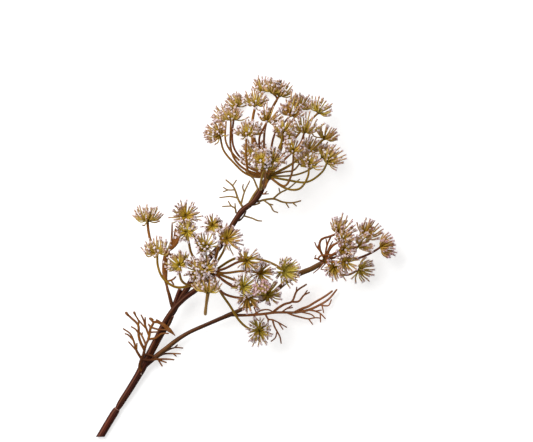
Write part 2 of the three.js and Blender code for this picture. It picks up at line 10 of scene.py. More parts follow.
import bpy
import numpy as np
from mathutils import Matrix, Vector


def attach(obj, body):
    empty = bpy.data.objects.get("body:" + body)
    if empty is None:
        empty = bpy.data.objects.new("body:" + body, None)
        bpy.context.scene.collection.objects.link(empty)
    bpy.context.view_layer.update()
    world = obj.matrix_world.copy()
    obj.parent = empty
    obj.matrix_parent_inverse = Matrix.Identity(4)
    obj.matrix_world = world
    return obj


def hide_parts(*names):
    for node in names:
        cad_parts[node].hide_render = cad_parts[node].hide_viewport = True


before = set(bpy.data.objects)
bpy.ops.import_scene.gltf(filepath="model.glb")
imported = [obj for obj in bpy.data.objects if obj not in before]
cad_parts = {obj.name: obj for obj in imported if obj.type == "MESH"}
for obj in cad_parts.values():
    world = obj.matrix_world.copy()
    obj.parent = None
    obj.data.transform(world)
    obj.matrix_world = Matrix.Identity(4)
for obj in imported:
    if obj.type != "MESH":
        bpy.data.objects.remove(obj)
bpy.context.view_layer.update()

MM = 0.001
SHEET_MIDDLE = (245.6, 257.6)

# The camera looks straight down from far off, so high and low florets keep their places. A
# millimetre of the sheet is a pixel wide at SEEN_TRUE above the surface. CLIP_END is in metres.
VIEW_WIDTH = 533
VIEW_CENTRE = (266.5, 221)
SEEN_TRUE = 50
LENS = 1000
SENSOR = 36
CLIP_END = 100


def place(points):
    """Sheet points, one in each row, moved to the part's frame, still in millimetres."""
    moved = np.array(points, float)
    moved[..., 0] -= SHEET_MIDDLE[0]
    moved[..., 1] = SHEET_MIDDLE[1] - moved[..., 1]
    return moved


def add_object(name, data):
    """A new object of the scene, made of a mesh, a light or a camera."""
    made = bpy.data.objects.new(name, data)
    bpy.context.collection.objects.link(made)
    return made


def overhead_camera():
    lens = bpy.data.cameras.new("overhead_camera")
    lens.lens = LENS
    lens.sensor_width = SENSOR
    lens.clip_end = CLIP_END
    camera = add_object("overhead_camera", lens)
    camera_height = SEEN_TRUE + VIEW_WIDTH * LENS / SENSOR
    camera.location = place([*VIEW_CENTRE, camera_height]) * MM
    bpy.context.scene.camera = camera


overhead_camera()

# Stem routes. Each point is (x, y, height, radius, tone), where the tone runs from 0, maroon,
# to 1, olive. The lowest length ends in a worn shoulder that the next one grows out of, and
# the upper one stands in the split sheath at the second joint.
LOWEST_LENGTH = [
    (99.7, 437.4, 3.3, 3.85, 0), (107.8, 423.7, 3.7, 3.85, 0), (113.6, 414.2, 4.4, 3.9, 0),
    (115.6, 411.1, 4.7, 3.6, 0.05), (116.5, 409.7, 4.8, 3.2, 0),
]
MIDDLE_LENGTH = [
    (115.2, 412, 4.6, 2.2, 0), (116.9, 409.3, 4.8, 2.5, 0), (117.9, 407.7, 4.9, 2.9, 0),
    (119.5, 405, 5.1, 3.3, 0), (122.2, 400.6, 5.5, 3.5, 0.1), (128.7, 390.6, 6.6, 3.6, 0),
    (137.7, 375.8, 8, 3.75, 0), (141, 370, 8.9, 4.1, 0.05), (144.8, 363, 10, 4, 0),
    (150.4, 352.5, 11.5, 3.9, 0.1), (158.6, 337, 14, 3.95, 0.15), (163.7, 328, 15.7, 3.9, 0.3),
    (167.5, 320.5, 17, 3.75, 0.5), (170.7, 314.8, 18.2, 3.6, 0.4),
]
UPPER_LENGTH = [
    (168, 319.5, 17.2, 2.4, 0), (170.6, 315, 18.1, 2.9, 0), (172.6, 312.2, 18.8, 3.2, 0),
    (175.5, 307, 19.6, 3.1, 0), (178.5, 301.5, 20.6, 3, 0), (182.5, 295, 21.8, 2.9, 0.1),
    (187.3, 288, 23.3, 3, 0.1), (190.5, 282.4, 24.5, 3, 0.1), (198, 270.5, 27, 3, 0.1),
    (205, 263, 29, 3, 0.1), (211, 256, 31, 3, 0.1), (218.5, 248, 33, 3, 0.1),
    (223.5, 240.5, 35.6, 3, 0.1), (228.5, 232.5, 37.8, 3, 0.15), (232.5, 225, 39.5, 2.8, 0.2),
    (238.8, 215.3, 41.8, 2.9, 0.1), (241.5, 211.6, 42.7, 3.3, 0.1), (244.8, 208.3, 43.6, 2.9, 0.1),
    (250.2, 204.3, 45, 2.8, 0.2), (254.4, 200.5, 46.2, 3.1, 0.15), (257.4, 196.5, 47.1, 3.2, 0.1),
    (260.5, 191.5, 48, 3.1, 0.1), (263, 185.5, 49.4, 3, 0.1), (266.8, 179.3, 50.7, 2.9, 0.1),
]
# A dry sheath tip stands against the stem above the second joint, and a dry sheath is left
# along its flank below the joint
SHEATH_TIP = [
    (172.8, 311, 19, 2.6, 0), (176.2, 300, 21, 2.4, 0), (179, 292, 22.7, 2.2, 0),
    (180, 289.3, 23.3, 2.1, 0),
]
DRY_SHEATH = [
    (162.6, 335.6, 15.5, 1.1, 0.1), (166, 329, 18, 1.7, 0.2), (169.4, 322.6, 20, 1.9, 0.2),
    (172, 316.6, 21.4, 1.9, 0.15),
]
LEAF_SCAR = [(141, 374.8, 11.5, 0.25), (140.6, 373.7, 11.8, 0.4), (140.1, 372.6, 11.9, 0.25)]
SMALL_BRACT = [
    [(260, 193.8, 48, 0.9), (264, 194, 48.4, 0.8), (268.6, 193.8, 47.6, 0.5)],
    [(264, 194, 48.4, 0.7), (265.6, 192.8, 49, 0.7), (267, 191.2, 49, 0.5)],
]
# The middle branch is grown together with the stem up to the second joint
MIDDLE_BRANCH = [
    (141.8, 368.5, 10.2, 1.6, 0), (145.7, 360.5, 12.2, 2.2, 0), (149.6, 352.5, 13.9, 2.4, 0.1),
    (153.5, 344.5, 15.4, 2.5, 0.1), (157.4, 336.5, 17, 2.65, 0), (161.3, 328.5, 18.7, 2.7, 0),
    (165.7, 320.5, 20.8, 2.7, 0.1), (168.4, 316.5, 22, 2.75, 0.1), (171.2, 312.5, 23.4, 2.85, 0.2),
    (175.5, 306.9, 25.3, 2.8, 0.1), (184.3, 298.4, 28, 2.75, 0.1), (190, 294, 30.6, 2.75, 0),
    (195.2, 290.3, 33, 2.8, 0.1), (205.5, 281, 38, 2.8, 0.3), (210.5, 274.8, 41, 2.8, 0.6),
]
RIGHT_BRANCH = [
    (144.5, 366.5, 9.4, 2.4, 0), (150, 361.3, 9.9, 2.7, 0.1), (158.5, 354.6, 10.8, 2.6, 0.35),
    (166.5, 348.4, 11.4, 2.5, 0.5), (174.5, 341.9, 11.9, 2.3, 0.45),
    (182.5, 336.4, 12.4, 2.1, 0.3), (190.5, 331.9, 13, 2, 0.3),
    (206.5, 324.8, 14.5, 2, 0.15), (222.5, 317.9, 16.4, 2.1, 0.2),
    (230.5, 314.5, 17.3, 2.4, 0.3), (238.5, 311, 18.4, 2, 0.6), (254.5, 303.3, 20.6, 1.9, 0.8),
    (263.5, 299.3, 21.8, 2, 0.8), (270.5, 295.4, 22.8, 2.1, 0.8), (278.5, 288.4, 24.6, 2.2, 0.9),
    (286.5, 281.7, 26, 2.3, 0.9), (294.5, 276.4, 27.4, 2.6, 0.8), (302.5, 272.4, 28.5, 2.7, 0.8),
    (310.5, 269.3, 30, 2.6, 0.8), (317, 265.8, 31.4, 2.6, 0.8), (320.5, 263.4, 32.2, 2, 0.9),
    (323, 262, 32.6, 2.2, 0.7),
]

# Umbels. Each has the seed of its draws, the place of its hub, the hub's radii upwards and
# across, the radii of a ray at its root and its tip, the number of pedicels in an umbellet, and
# their size. Each umbellet: the place of its core, the way it faces (right, up the sheet, up
# off the surface), the hue of its ray from 0, olive, to 1, maroon, the points that the ray
# passes between the hub and the core, and the tips of pedicels that are seen one by one. The
# rest of its pedicels fill in round those. An umbellet may also be more or less ripe, from 0,
# green, to 1, brown, have another share of florets that are bare of petals, and be pink. It may
# have its own count of pedicels, size, ray radii, spread, which is 1 for a half ball, and cup,
# which is how far its pedicels turn up.
TOP_UMBEL = {
    "seed": 11, "hub": (268.5, 176.3, 51), "hub_radii": (4, 4.2), "ray_radii": (1.2, 1.05),
    "pedicels": 38, "size": 1.03,
    "umbellets": [
        {"at": (220, 135, 77), "faces": (-1, 0.8, 0.5), "hue": 0.35, "ripe": 0.6, "count": 58,
         "size": 1.1,
         "ray": [(256, 177, 56), (245, 173, 60), (233.5, 162.5, 66), (223.5, 150, 73)],
         "tips": [(204, 137.5), (205, 130), (207.5, 127), (210.5, 124), (214, 122), (217, 120),
             (220.6, 120), (228, 135), (209, 143), (204.5, 134), (223, 124), (214.5, 145)]},
        {"at": (226, 119.5, 36), "faces": (-0.7, 1, -0.3), "hue": 0.5,
         "ray": [(250, 168, 46), (240, 161, 45), (231.5, 152, 43), (225.6, 141, 40)],
         "tips": [(215.6, 105.4), (221.2, 103.7), (224, 105), (227.3, 104), (213.5, 116)]},
        {"at": (231, 119.8, 58), "faces": (-0.1, 1, 0.2), "hue": 0.6,
         "ray": [(256, 173.5, 54), (243, 168, 57), (234, 158, 60), (230.6, 146, 61),
             (230.6, 132, 60)],
         "tips": [(249, 117), (243, 111), (238, 108), (219, 112)]},
        {"at": (236.8, 106.7, 8), "faces": (-0.6, 1, 0), "hue": 0.9,
         "ray": [(258, 170.5, 44), (247, 162.5, 36), (237.4, 154, 28), (232.8, 144, 24),
             (233, 124, 14)],
         "tips": [(227.2, 93.2), (230, 95), (233.4, 92.6), (235.5, 94.5), (237.9, 94),
             (247, 104)]},
        {"at": (255.5, 104.5, 60), "faces": (0, 0.8, 0.7), "hue": 0.55,
         "ray": [(262, 160, 56), (254, 138, 61), (252.4, 120, 63)],
         "tips": [(245.3, 90.8), (251.6, 88.4), (256.6, 90.3), (265.7, 95.5), (267.6, 101.6),
             (258.6, 110.4), (244.4, 96), (243.5, 101), (262, 92)]},
        {"at": (263.3, 91.3, 9), "faces": (0, 1, 0), "hue": 0.5,
         "ray": [(261.5, 158, 44), (254, 136, 38), (253, 120, 30), (257, 103, 18)],
         "tips": [(258, 76.9), (262.2, 79.2), (265.7, 76), (259.5, 83), (255.5, 88)]},
        {"at": (272, 92.3, 40), "faces": (0.2, 1, 0), "hue": 0.5,
         "ray": [(264, 146, 43), (266, 124, 38), (273.5, 106, 34), (277, 98.5, 34)],
         "tips": [(269, 80.3), (271, 77), (272.8, 81), (266.5, 82.5)]},
        {"at": (279.5, 95.5, 36), "faces": (0.3, 1, 0), "hue": 0.65,
         "ray": [(264, 142, 50), (266, 124, 45), (273, 106, 40)],
         "tips": [(275.2, 80.4), (277.8, 80.3), (281.5, 79.8), (284.3, 80.6), (289.6, 82.2),
             (292.5, 85.3), (292, 89)]},
        {"at": (246.9, 134.8, 90), "faces": (-0.2, 1, 0.8), "hue": 0.5,
         "ray": [(258, 176, 60), (248.5, 171.5, 75), (246.3, 160, 86), (246, 147, 91)],
         "tips": [(236.6, 127.6), (241, 131), (249, 122), (253, 122.4), (256.5, 124),
             (256.6, 132.4)]},
        {"at": (252, 134.5, 54), "faces": (0, 1, 0.2), "hue": 0.55,
         "ray": [(260, 165, 55), (254, 148, 56)],
         "tips": [(259, 126)]},
        {"at": (267.5, 121, 76), "faces": (0.3, 1, 0.5), "hue": 0.8, "ripe": 0.65,
         "ray": [(262, 158, 62), (259.5, 138, 72)],
         "tips": [(259.3, 116.9), (261.2, 111.2), (263.6, 105.4), (267, 102.6), (273.7, 106.6),
             (279, 110.5), (281.3, 113.4), (283.3, 116.9), (277, 124)]},
        {"at": (290.4, 115.6, 68), "faces": (0.3, 1, 0.4), "hue": 0.85, "ripe": 0.85,
         "ray": [(271, 150, 58), (275, 134, 64), (284, 123, 68)],
         "tips": [(280.4, 103.5), (281.2, 107.4), (286, 99), (291.9, 91), (295.7, 93),
             (299, 97)]},
        {"at": (300, 108, 8), "faces": (0.3, 1, 0), "hue": 0.6,
         "ray": [(278, 150, 42), (290, 125, 26)],
         "tips": [(300, 92.6), (303, 95), (309.4, 94.4), (294, 95.5)]},
        {"at": (318.5, 112.5, 32), "faces": (0.7, 1, 0), "hue": 0.4, "ripe": 0.3, "bare": 0.2,
         "ray": [(285, 152, 44), (305, 126, 36)],
         "tips": [(312, 95.6), (315.8, 96), (319, 97.5), (322.5, 97.8), (326.2, 100.6),
             (329.2, 105.4), (331.8, 111), (330.5, 115), (307.5, 103)]},
        {"at": (283.5, 132, 94), "faces": (0.1, 1, 0.8), "hue": 0.1,
         "ray": [(276, 168, 66), (280, 148, 84)],
         "tips": [(279.6, 124.8), (283, 119.5), (288, 120)]},
        {"at": (304.5, 132, 66), "faces": (0.1, 1, 0.3), "hue": 0.75, "size": 1.15,
         "ray": [(284, 160, 58), (300, 144, 64)],
         "tips": [(290, 120.8), (293.8, 118.8), (298, 117), (310, 111), (324.8, 123.2),
             (306, 112)]},
        {"at": (324.5, 138.5, 40), "faces": (0.5, 1, 0), "hue": 0.15, "ripe": 0.7, "count": 28,
         "ray": [(290, 165, 48), (312, 150, 43)],
         "tips": [(316.3, 127.2), (320.6, 127), (328.7, 126), (332, 127), (334, 128.4),
             (336.8, 132.2), (338, 135), (311, 132)]},
        {"at": (327.8, 161, 74), "faces": (1, 0.7, 0.4), "hue": 0.05, "ripe": 0.4,
         "ray": [(287, 180, 60), (307, 182, 68), (322, 172, 73)],
         "tips": [(329.7, 144.6), (335.9, 144.6), (339.7, 147.6), (342.6, 150.6), (345.9, 154.7),
             (346.4, 158.5), (343.5, 163.1), (335.8, 165), (332.5, 145.5), (340.5, 161)]},
        {"at": (308.4, 163.6, 96), "faces": (0.2, 1, 0.8), "hue": 0.12,
         "ray": [(285, 188, 58), (299, 189, 70), (308, 176, 86)],
         "tips": [(323.4, 166.2), (321.5, 169.8), (322.4, 159.2), (297, 158)]},
        {"at": (293.2, 151.7, 104), "faces": (0.1, 1, 0.9), "hue": 0.5, "ripe": 0.6,
         "ray": [(284, 186, 60), (291, 176, 76), (293, 162, 92)],
         "tips": [(285, 147.4), (284.8, 138), (291, 137), (304, 141)]},
        {"at": (300, 163, 22), "faces": (0.6, 0.6, -0.3), "hue": 0.3, "ray_radii": (1, 0.9),
         "ray": [(284, 172, 42), (294, 170, 30)]},
        {"at": (322.5, 157, 26), "faces": (1, 0.6, -0.2), "hue": 0.1, "ray_radii": (1, 0.9),
         "ray": [(295, 175, 42), (312, 168, 32)]},
        {"at": (309, 150, 8), "faces": (0.5, 0.8, -0.2), "hue": 0.3, "ray_radii": (1, 0.9),
         "ray": [(286, 168, 38), (300, 158, 23)]},
        {"at": (266, 168.5, 98), "faces": (0, 1, 0.6), "hue": 0.1, "bare": 0.2, "count": 26,
         "size": 1.35, "ray_radii": (1.4, 1.3),
         "ray": [(262.5, 187, 57), (260.4, 189.4, 66), (261.2, 181, 82), (263.6, 172.5, 93)],
         "tips": [(254.5, 143.4), (261.2, 145.6), (271.3, 148.4), (275.6, 147.5), (279.4, 154.2),
             (248, 153), (281, 160), (254, 163), (257.5, 148), (266, 146.5)]},
        {"at": (261, 160.5, 109.5), "faces": (-0.2, 0.4, 1), "hue": 0.6, "bare": 0.05,
         "size": 0.95, "ray_radii": (1.3, 1.2),
         "ray": [(265, 187, 57), (263.6, 187.5, 66), (265, 178, 84), (264, 169, 97)]},
        {"at": (273.5, 160, 102), "faces": (0.3, 0.5, 1), "hue": 0.5, "bare": 0.05, "size": 0.95,
         "ray": [(270, 170, 68), (272, 165, 86)]},
        {"at": (252.5, 157, 62), "faces": (-0.6, 0.6, 0.8), "hue": 0.35,
         "ray": [(262, 172, 56), (256, 166, 60)],
         "tips": [(241.8, 145.6), (240.6, 150.8), (242.6, 155.6), (246, 143.5), (244, 162)]},
        {"at": (253, 154, 8), "faces": (0.2, 0.8, -0.2), "hue": 0.9,
         "ray": [(259, 168, 36), (255, 161, 24)]},
        {"at": (284, 138, 8), "faces": (0.1, 1, -0.1), "hue": 0.5,
         "ray": [(275, 163, 36), (281, 150, 22)]},
    ],
}
MIDDLE_UMBEL = {
    "seed": 23, "hub": (212.5, 272, 42), "hub_radii": (4, 4.6), "ray_radii": (1.35, 1.2),
    "pedicels": 48, "size": 1.1,
    "umbellets": [
        {"at": (147.5, 221, 48), "faces": (0, 1, 0.25), "hue": 0.6, "bare": 0.7, "spread": 0.8,
         "cup": 0.12, "ray_radii": (1.5, 1.4),
         "ray": [(190, 262, 46), (165, 252, 46), (152, 243, 47), (148.6, 232, 47)],
         "tips": [(137.1, 206.2), (134.2, 209.8), (132.3, 215.1), (142.2, 225), (147.6, 209.2),
             (151, 207), (154.8, 207.4), (159.6, 211.3), (163.4, 214), (159.6, 221), (136, 219),
             (157.5, 208.5)]},
        {"at": (157.3, 253, 66), "faces": (-0.1, 1, 0.4), "hue": 0.15, "bare": 0.6, "cup": 0.2,
         "ray": [(191, 285, 50), (176, 287, 56), (163, 278, 61), (158, 266, 64)],
         "tips": [(140.9, 247.2), (144.3, 244.8), (144.7, 252.2), (151.9, 241.9), (156.7, 236),
             (161.5, 237), (166.3, 239), (171, 241.2), (169.5, 250), (147, 248.5)]},
        {"at": (186, 216, 74), "faces": (0, 0.3, 1), "hue": 0.6, "ripe": 0.5, "count": 70,
         "size": 1.15,
         "ray": [(204, 260, 52), (197, 242, 64), (191, 228, 71)],
         "tips": [(168.4, 217.5), (174.9, 205.5), (177.8, 202.7), (180.6, 200), (185.4, 202.4),
             (193, 206.4), (202.6, 216), (201.7, 220.4), (171.7, 223.6), (173, 211), (197.5, 212),
             (178, 227), (184, 229), (189.5, 228), (196, 224)]},
        {"at": (187.2, 232, 84), "faces": (-0.2, 0.3, 1), "hue": 0.3, "ripe": 0.3,
         "ray": [(193, 256, 62), (189, 243, 76)],
         "tips": [(195, 225.6), (197.4, 228), (175.5, 226), (179, 235), (199, 234)]},
        {"at": (179.9, 265.6, 92), "faces": (-0.4, 0.5, 0.9), "hue": 0.25, "ripe": 0.35,
         "ray": [(195, 286, 56), (183, 282, 72), (180, 274, 84)],
         "tips": [(163.9, 262), (169.1, 271), (166, 267), (174.5, 254), (179.7, 250.4),
             (186.4, 251.6), (189.2, 253.5), (167.5, 257.5)]},
        {"at": (207.7, 292.3, 97), "faces": (0, 1, 0.2), "hue": 0.25, "ripe": 0.5, "bare": 0.3,
         "count": 40, "size": 1.1, "spread": 0.78, "cup": 0.14, "ray_radii": (1.5, 1.5),
         "ray": [(209, 290, 44), (205.3, 311, 50), (205.5, 314, 60), (206.5, 303, 82)],
         "tips": [(193.1, 279.4), (196.9, 275), (198.8, 278.3), (216, 276.5), (219.9, 279.2),
             (222.3, 283), (220.5, 289), (192, 284.5), (204, 277), (210.5, 276)]},
        {"at": (198, 271, 92), "faces": (-0.2, 0.4, 1), "hue": 0.5,
         "ray": [(204, 276, 60), (199, 276, 80)]},
        {"at": (205.5, 269.5, 95), "faces": (0, 0.5, 1), "hue": 0.5,
         "ray": [(208, 272, 65), (206, 272, 85)]},
        {"at": (212.8, 225.5, 82), "faces": (0, 0.1, 1), "hue": 0.5, "ripe": 0.45, "size": 0.9,
         "ray_radii": (1.5, 1.7),
         "ray": [(214.5, 262, 54), (219, 246, 64), (222, 232, 72), (219.5, 224, 76)],
         "tips": [(210.3, 215), (218, 218.9), (220.8, 224.7), (204.4, 222.8), (207.4, 219.8),
             (214.1, 236), (205, 231), (220, 231)]},
        {"at": (205.8, 246, 92), "faces": (0, 0.3, 1), "hue": 0.03, "ripe": 0.4, "bare": 0.1,
         "ray": [(207, 258, 64), (205.5, 250, 82)],
         "tips": [(196.9, 237), (195, 242.8), (198.6, 248.6), (214.1, 240.9), (201, 233),
             (203.5, 243), (207.5, 246.5), (205, 249), (209, 242.5), (202, 247.5), (208.5, 251),
             (212, 247), (203.5, 252.5), (199.5, 243.5), (206, 239.5)]},
        {"at": (227, 239, 88), "faces": (0.3, 0.4, 1), "hue": 0.2, "ripe": 0.75,
         "ray": [(216, 264, 56), (224, 250, 74)],
         "tips": [(228.5, 225.6), (233.7, 226.8), (240, 232.8), (242.4, 240), (243.3, 244.8),
             (241, 250.3), (233.3, 254.8), (222.3, 229.6), (239, 248), (237, 229.5)]},
        {"at": (246.7, 260.8, 86), "faces": (0.4, 0.1, 1), "hue": 0.85, "ripe": 0.6,
         "ray": [(225, 268.4, 58), (238, 262, 72)],
         "tips": [(237.1, 258.2), (238.5, 252.4), (247.6, 251), (253.4, 254.3), (261.6, 262),
             (241.4, 268.5), (247.6, 269.6), (258, 257)]},
        {"at": (260.2, 272.8, 72), "faces": (0.5, 0, 1), "hue": 0.4, "ripe": 0.7,
         "ray": [(225, 273, 52), (243, 271, 62)],
         "tips": [(271, 267), (273, 274), (268, 282)]},
        {"at": (284, 271.5, 58), "faces": (0.5, 0.1, 0.9), "hue": 0.15, "ripe": 0, "bare": 0.5,
         "count": 60, "size": 1.15,
         "ray": [(237, 258, 50), (262, 260, 55), (277, 266, 58)],
         "tips": [(286.8, 256.6), (280.1, 260.6), (290.5, 257.5), (295.7, 259.8), (299.9, 266.2),
             (299.6, 270), (299.5, 277.4), (296.9, 282.4), (289.8, 287.6), (276.5, 271.5)]},
        {"at": (243.4, 287, 84), "faces": (0.3, 0.3, 1), "hue": 0.8, "ripe": 0.15,
         "ray": [(228, 283, 60), (237, 286, 74)],
         "tips": [(237.6, 279.6), (246.8, 276.4), (250, 279)]},
        {"at": (248.8, 297.6, 74), "faces": (0.2, -0.4, 1), "hue": 0.8, "ripe": 0.8,
         "ray": [(221, 291, 52), (234, 297, 64)],
         "tips": [(237.1, 303), (238, 299.2), (242.8, 310.2), (247.1, 313.4), (251.4, 311.7),
             (257.3, 303), (257.3, 296.6), (240, 306)]},
        {"at": (263.5, 292, 90), "faces": (-0.5, 1, 0.4), "hue": 0.4, "ripe": 0.2, "bare": 0,
         "pink": 3, "size": 0.8,
         "ray": [(232, 279, 56), (250, 287, 72)]},
        {"at": (267.5, 294.5, 66), "faces": (0.1, 0.3, 1), "hue": 0.5, "pink": 0.9,
         "ray": [(232, 286, 52), (252, 292, 62)],
         "tips": [(260, 284.5), (276.5, 281), (281.4, 292), (281.4, 299.3)]},
        {"at": (259, 331, 33), "faces": (0, -0.1, 1), "hue": 0.1, "ripe": 0.25, "bare": 0.15,
         "count": 58,
         "ray": [(220, 291, 42), (230, 306, 37), (240, 321.5, 33), (249, 328.8, 32)],
         "tips": [(248.4, 333), (249, 324.1), (255.6, 318.6), (263.6, 318.8), (271, 335.8),
             (266.4, 344.8), (258.2, 346.5), (252.4, 346.5), (248.6, 341.4), (270.5, 326),
             (253, 334.5), (254.5, 337), (258, 336), (262, 325.5), (255.5, 327.5), (265.5, 329),
             (246.5, 329), (250.5, 340), (261.5, 344.5), (268.5, 331), (259.5, 321.5), (252, 321),
             (265, 340), (256, 342), (251.5, 330)]},
    ],
}
RIGHT_UMBEL = {
    "seed": 37, "hub": (325.5, 260.5, 33), "hub_radii": (3.2, 3.4), "ray_radii": (1.3, 1.1),
    "pedicels": 40, "size": 1,
    "umbellets": [
        {"at": (339.5, 232.5, 46), "faces": (0.4, 1, 0.4), "hue": 0.85, "ripe": 0.7, "bare": 0.45,
         "pink": 1.2, "count": 42, "size": 1.15,
         "ray": [(320, 249, 38), (321, 240, 42), (331, 236, 45)],
         "tips": [(342.8, 213), (337.3, 217.2), (347.4, 215.9), (352.9, 218.9), (355.4, 224.8),
             (357, 230.3), (335.2, 225.6), (338.5, 220)]},
        {"at": (342, 241, 58), "faces": (0.6, 0.5, 0.9), "hue": 0.8, "ripe": 0.65, "bare": 0.55,
         "pink": 1,
         "ray": [(329.5, 250, 43), (335, 244, 53)],
         "tips": [(355, 239.7), (352.4, 231), (353.5, 235)]},
        {"at": (343, 250, 64), "faces": (0.5, 0.1, 1), "hue": 0.8, "ripe": 0.65, "bare": 0.5,
         "pink": 0.8,
         "ray": [(332, 255, 46), (339, 251, 57)],
         "tips": [(352.2, 250.4), (353, 254.5), (337, 250)]},
        {"at": (334.1, 267, 54), "faces": (0.2, -0.6, 1), "hue": 0.6, "ripe": 0.65, "bare": 0.5,
         "pink": 0.8,
         "ray": [(329, 265, 40), (332, 268, 48)],
         "tips": [(336.9, 281), (332, 277.2), (345.8, 280.6), (328, 260.4), (341, 277)]},
        {"at": (359.9, 269.3, 8), "faces": (0.8, 0, 0.2), "hue": 0.5, "ripe": 0.3, "count": 30,
         "ray": [(335, 272, 30), (347, 275, 22)],
         "tips": [(366.2, 257.2), (369.5, 260), (372.3, 263.1), (374.4, 266), (374.8, 269.8),
             (374.4, 275.3), (369.7, 281.6), (362.6, 282.2), (355.9, 282.8), (351.8, 279)]},
        {"at": (345, 262, 66), "faces": (0.4, -0.2, 1), "hue": 0.7, "ripe": 0.65, "bare": 0.5,
         "pink": 0.8,
         "ray": [(333, 262, 48), (341, 262, 60)]},
        {"at": (359.5, 246, 42), "faces": (0.9, 0.5, 0.5), "hue": 0.7, "ripe": 0.4, "bare": 0.4,
         "pink": 0.6, "count": 36, "spread": 0.75,
         "ray": [(336, 257, 38), (349, 250, 42)],
         "tips": [(362.4, 230.6), (358, 236), (373, 248), (372, 251.8), (367, 251), (356, 250)]},
        {"at": (365.5, 236.5, 22), "faces": (0.6, 0.9, 0.2), "hue": 0.9, "ripe": 0.7,
         "bare": 0.55, "pink": 1, "count": 40, "size": 1.15,
         "ray": [(340, 250, 32), (355, 238, 26)],
         "tips": [(374.8, 220.6), (378.6, 223.5), (381, 226), (383.5, 229), (383, 232.7),
             (371, 221)]},
        {"at": (381, 247, 30), "faces": (1, 0.2, 0.2), "hue": 0.95, "ripe": 0.85, "pink": 1.4,
         "ray": [(345, 262, 34), (362, 257, 33), (373, 252, 31)],
         "tips": [(388.7, 232.6), (390.8, 234.7), (394.2, 240.8), (395.4, 245), (396.9, 252.6),
             (395.4, 255.5), (390.4, 257.5), (392.5, 237.5)]},
    ],
    "bracts": [
        (1.1, 0.9, [(325.5, 258.5, 34), (325.8, 252, 37), (327.5, 244, 40), (330.6, 237.4, 44)]),
        (0.9, 0.7, [(325.9, 252, 37), (326.8, 246, 39), (326.2, 239.6, 40)]),
        (1.1, 0.6, [(325, 258.5, 34), (319.8, 250.6, 36), (316.6, 246.6, 36),
            (314.8, 242.3, 34)]),
        (0.8, 0.6, [(319.8, 250.6, 37), (318, 246.6, 38), (319.6, 243.2, 39)]),
        (1.1, 0.8, [(324.6, 260.5, 34), (320.5, 260.4, 37), (317, 258.8, 37),
            (314.6, 258.6, 36)]),
        (0.7, 0.5, [(316, 258.6, 37), (315, 257, 37.5), (316.2, 255, 38)]),
        (1, 0.9, [(318, 259.2, 37), (320.4, 256, 40), (327, 254.8, 41), (336, 254.6, 45)]),
        (1, 0.6, [(325.9, 257, 35), (329, 248, 38), (332.6, 241.4, 37)]),
        (0.6, 0.5, [(329, 248, 38), (333.4, 243.8, 38)]),
        (0.8, 0.5, [(324, 262, 34.5), (319, 268.4, 37.5), (313.4, 273.2, 37)]),
        (0.7, 0.5, [(326, 263, 34), (321, 269.4, 36), (326, 269.2, 37), (331, 267.5, 38)]),
    ],
}

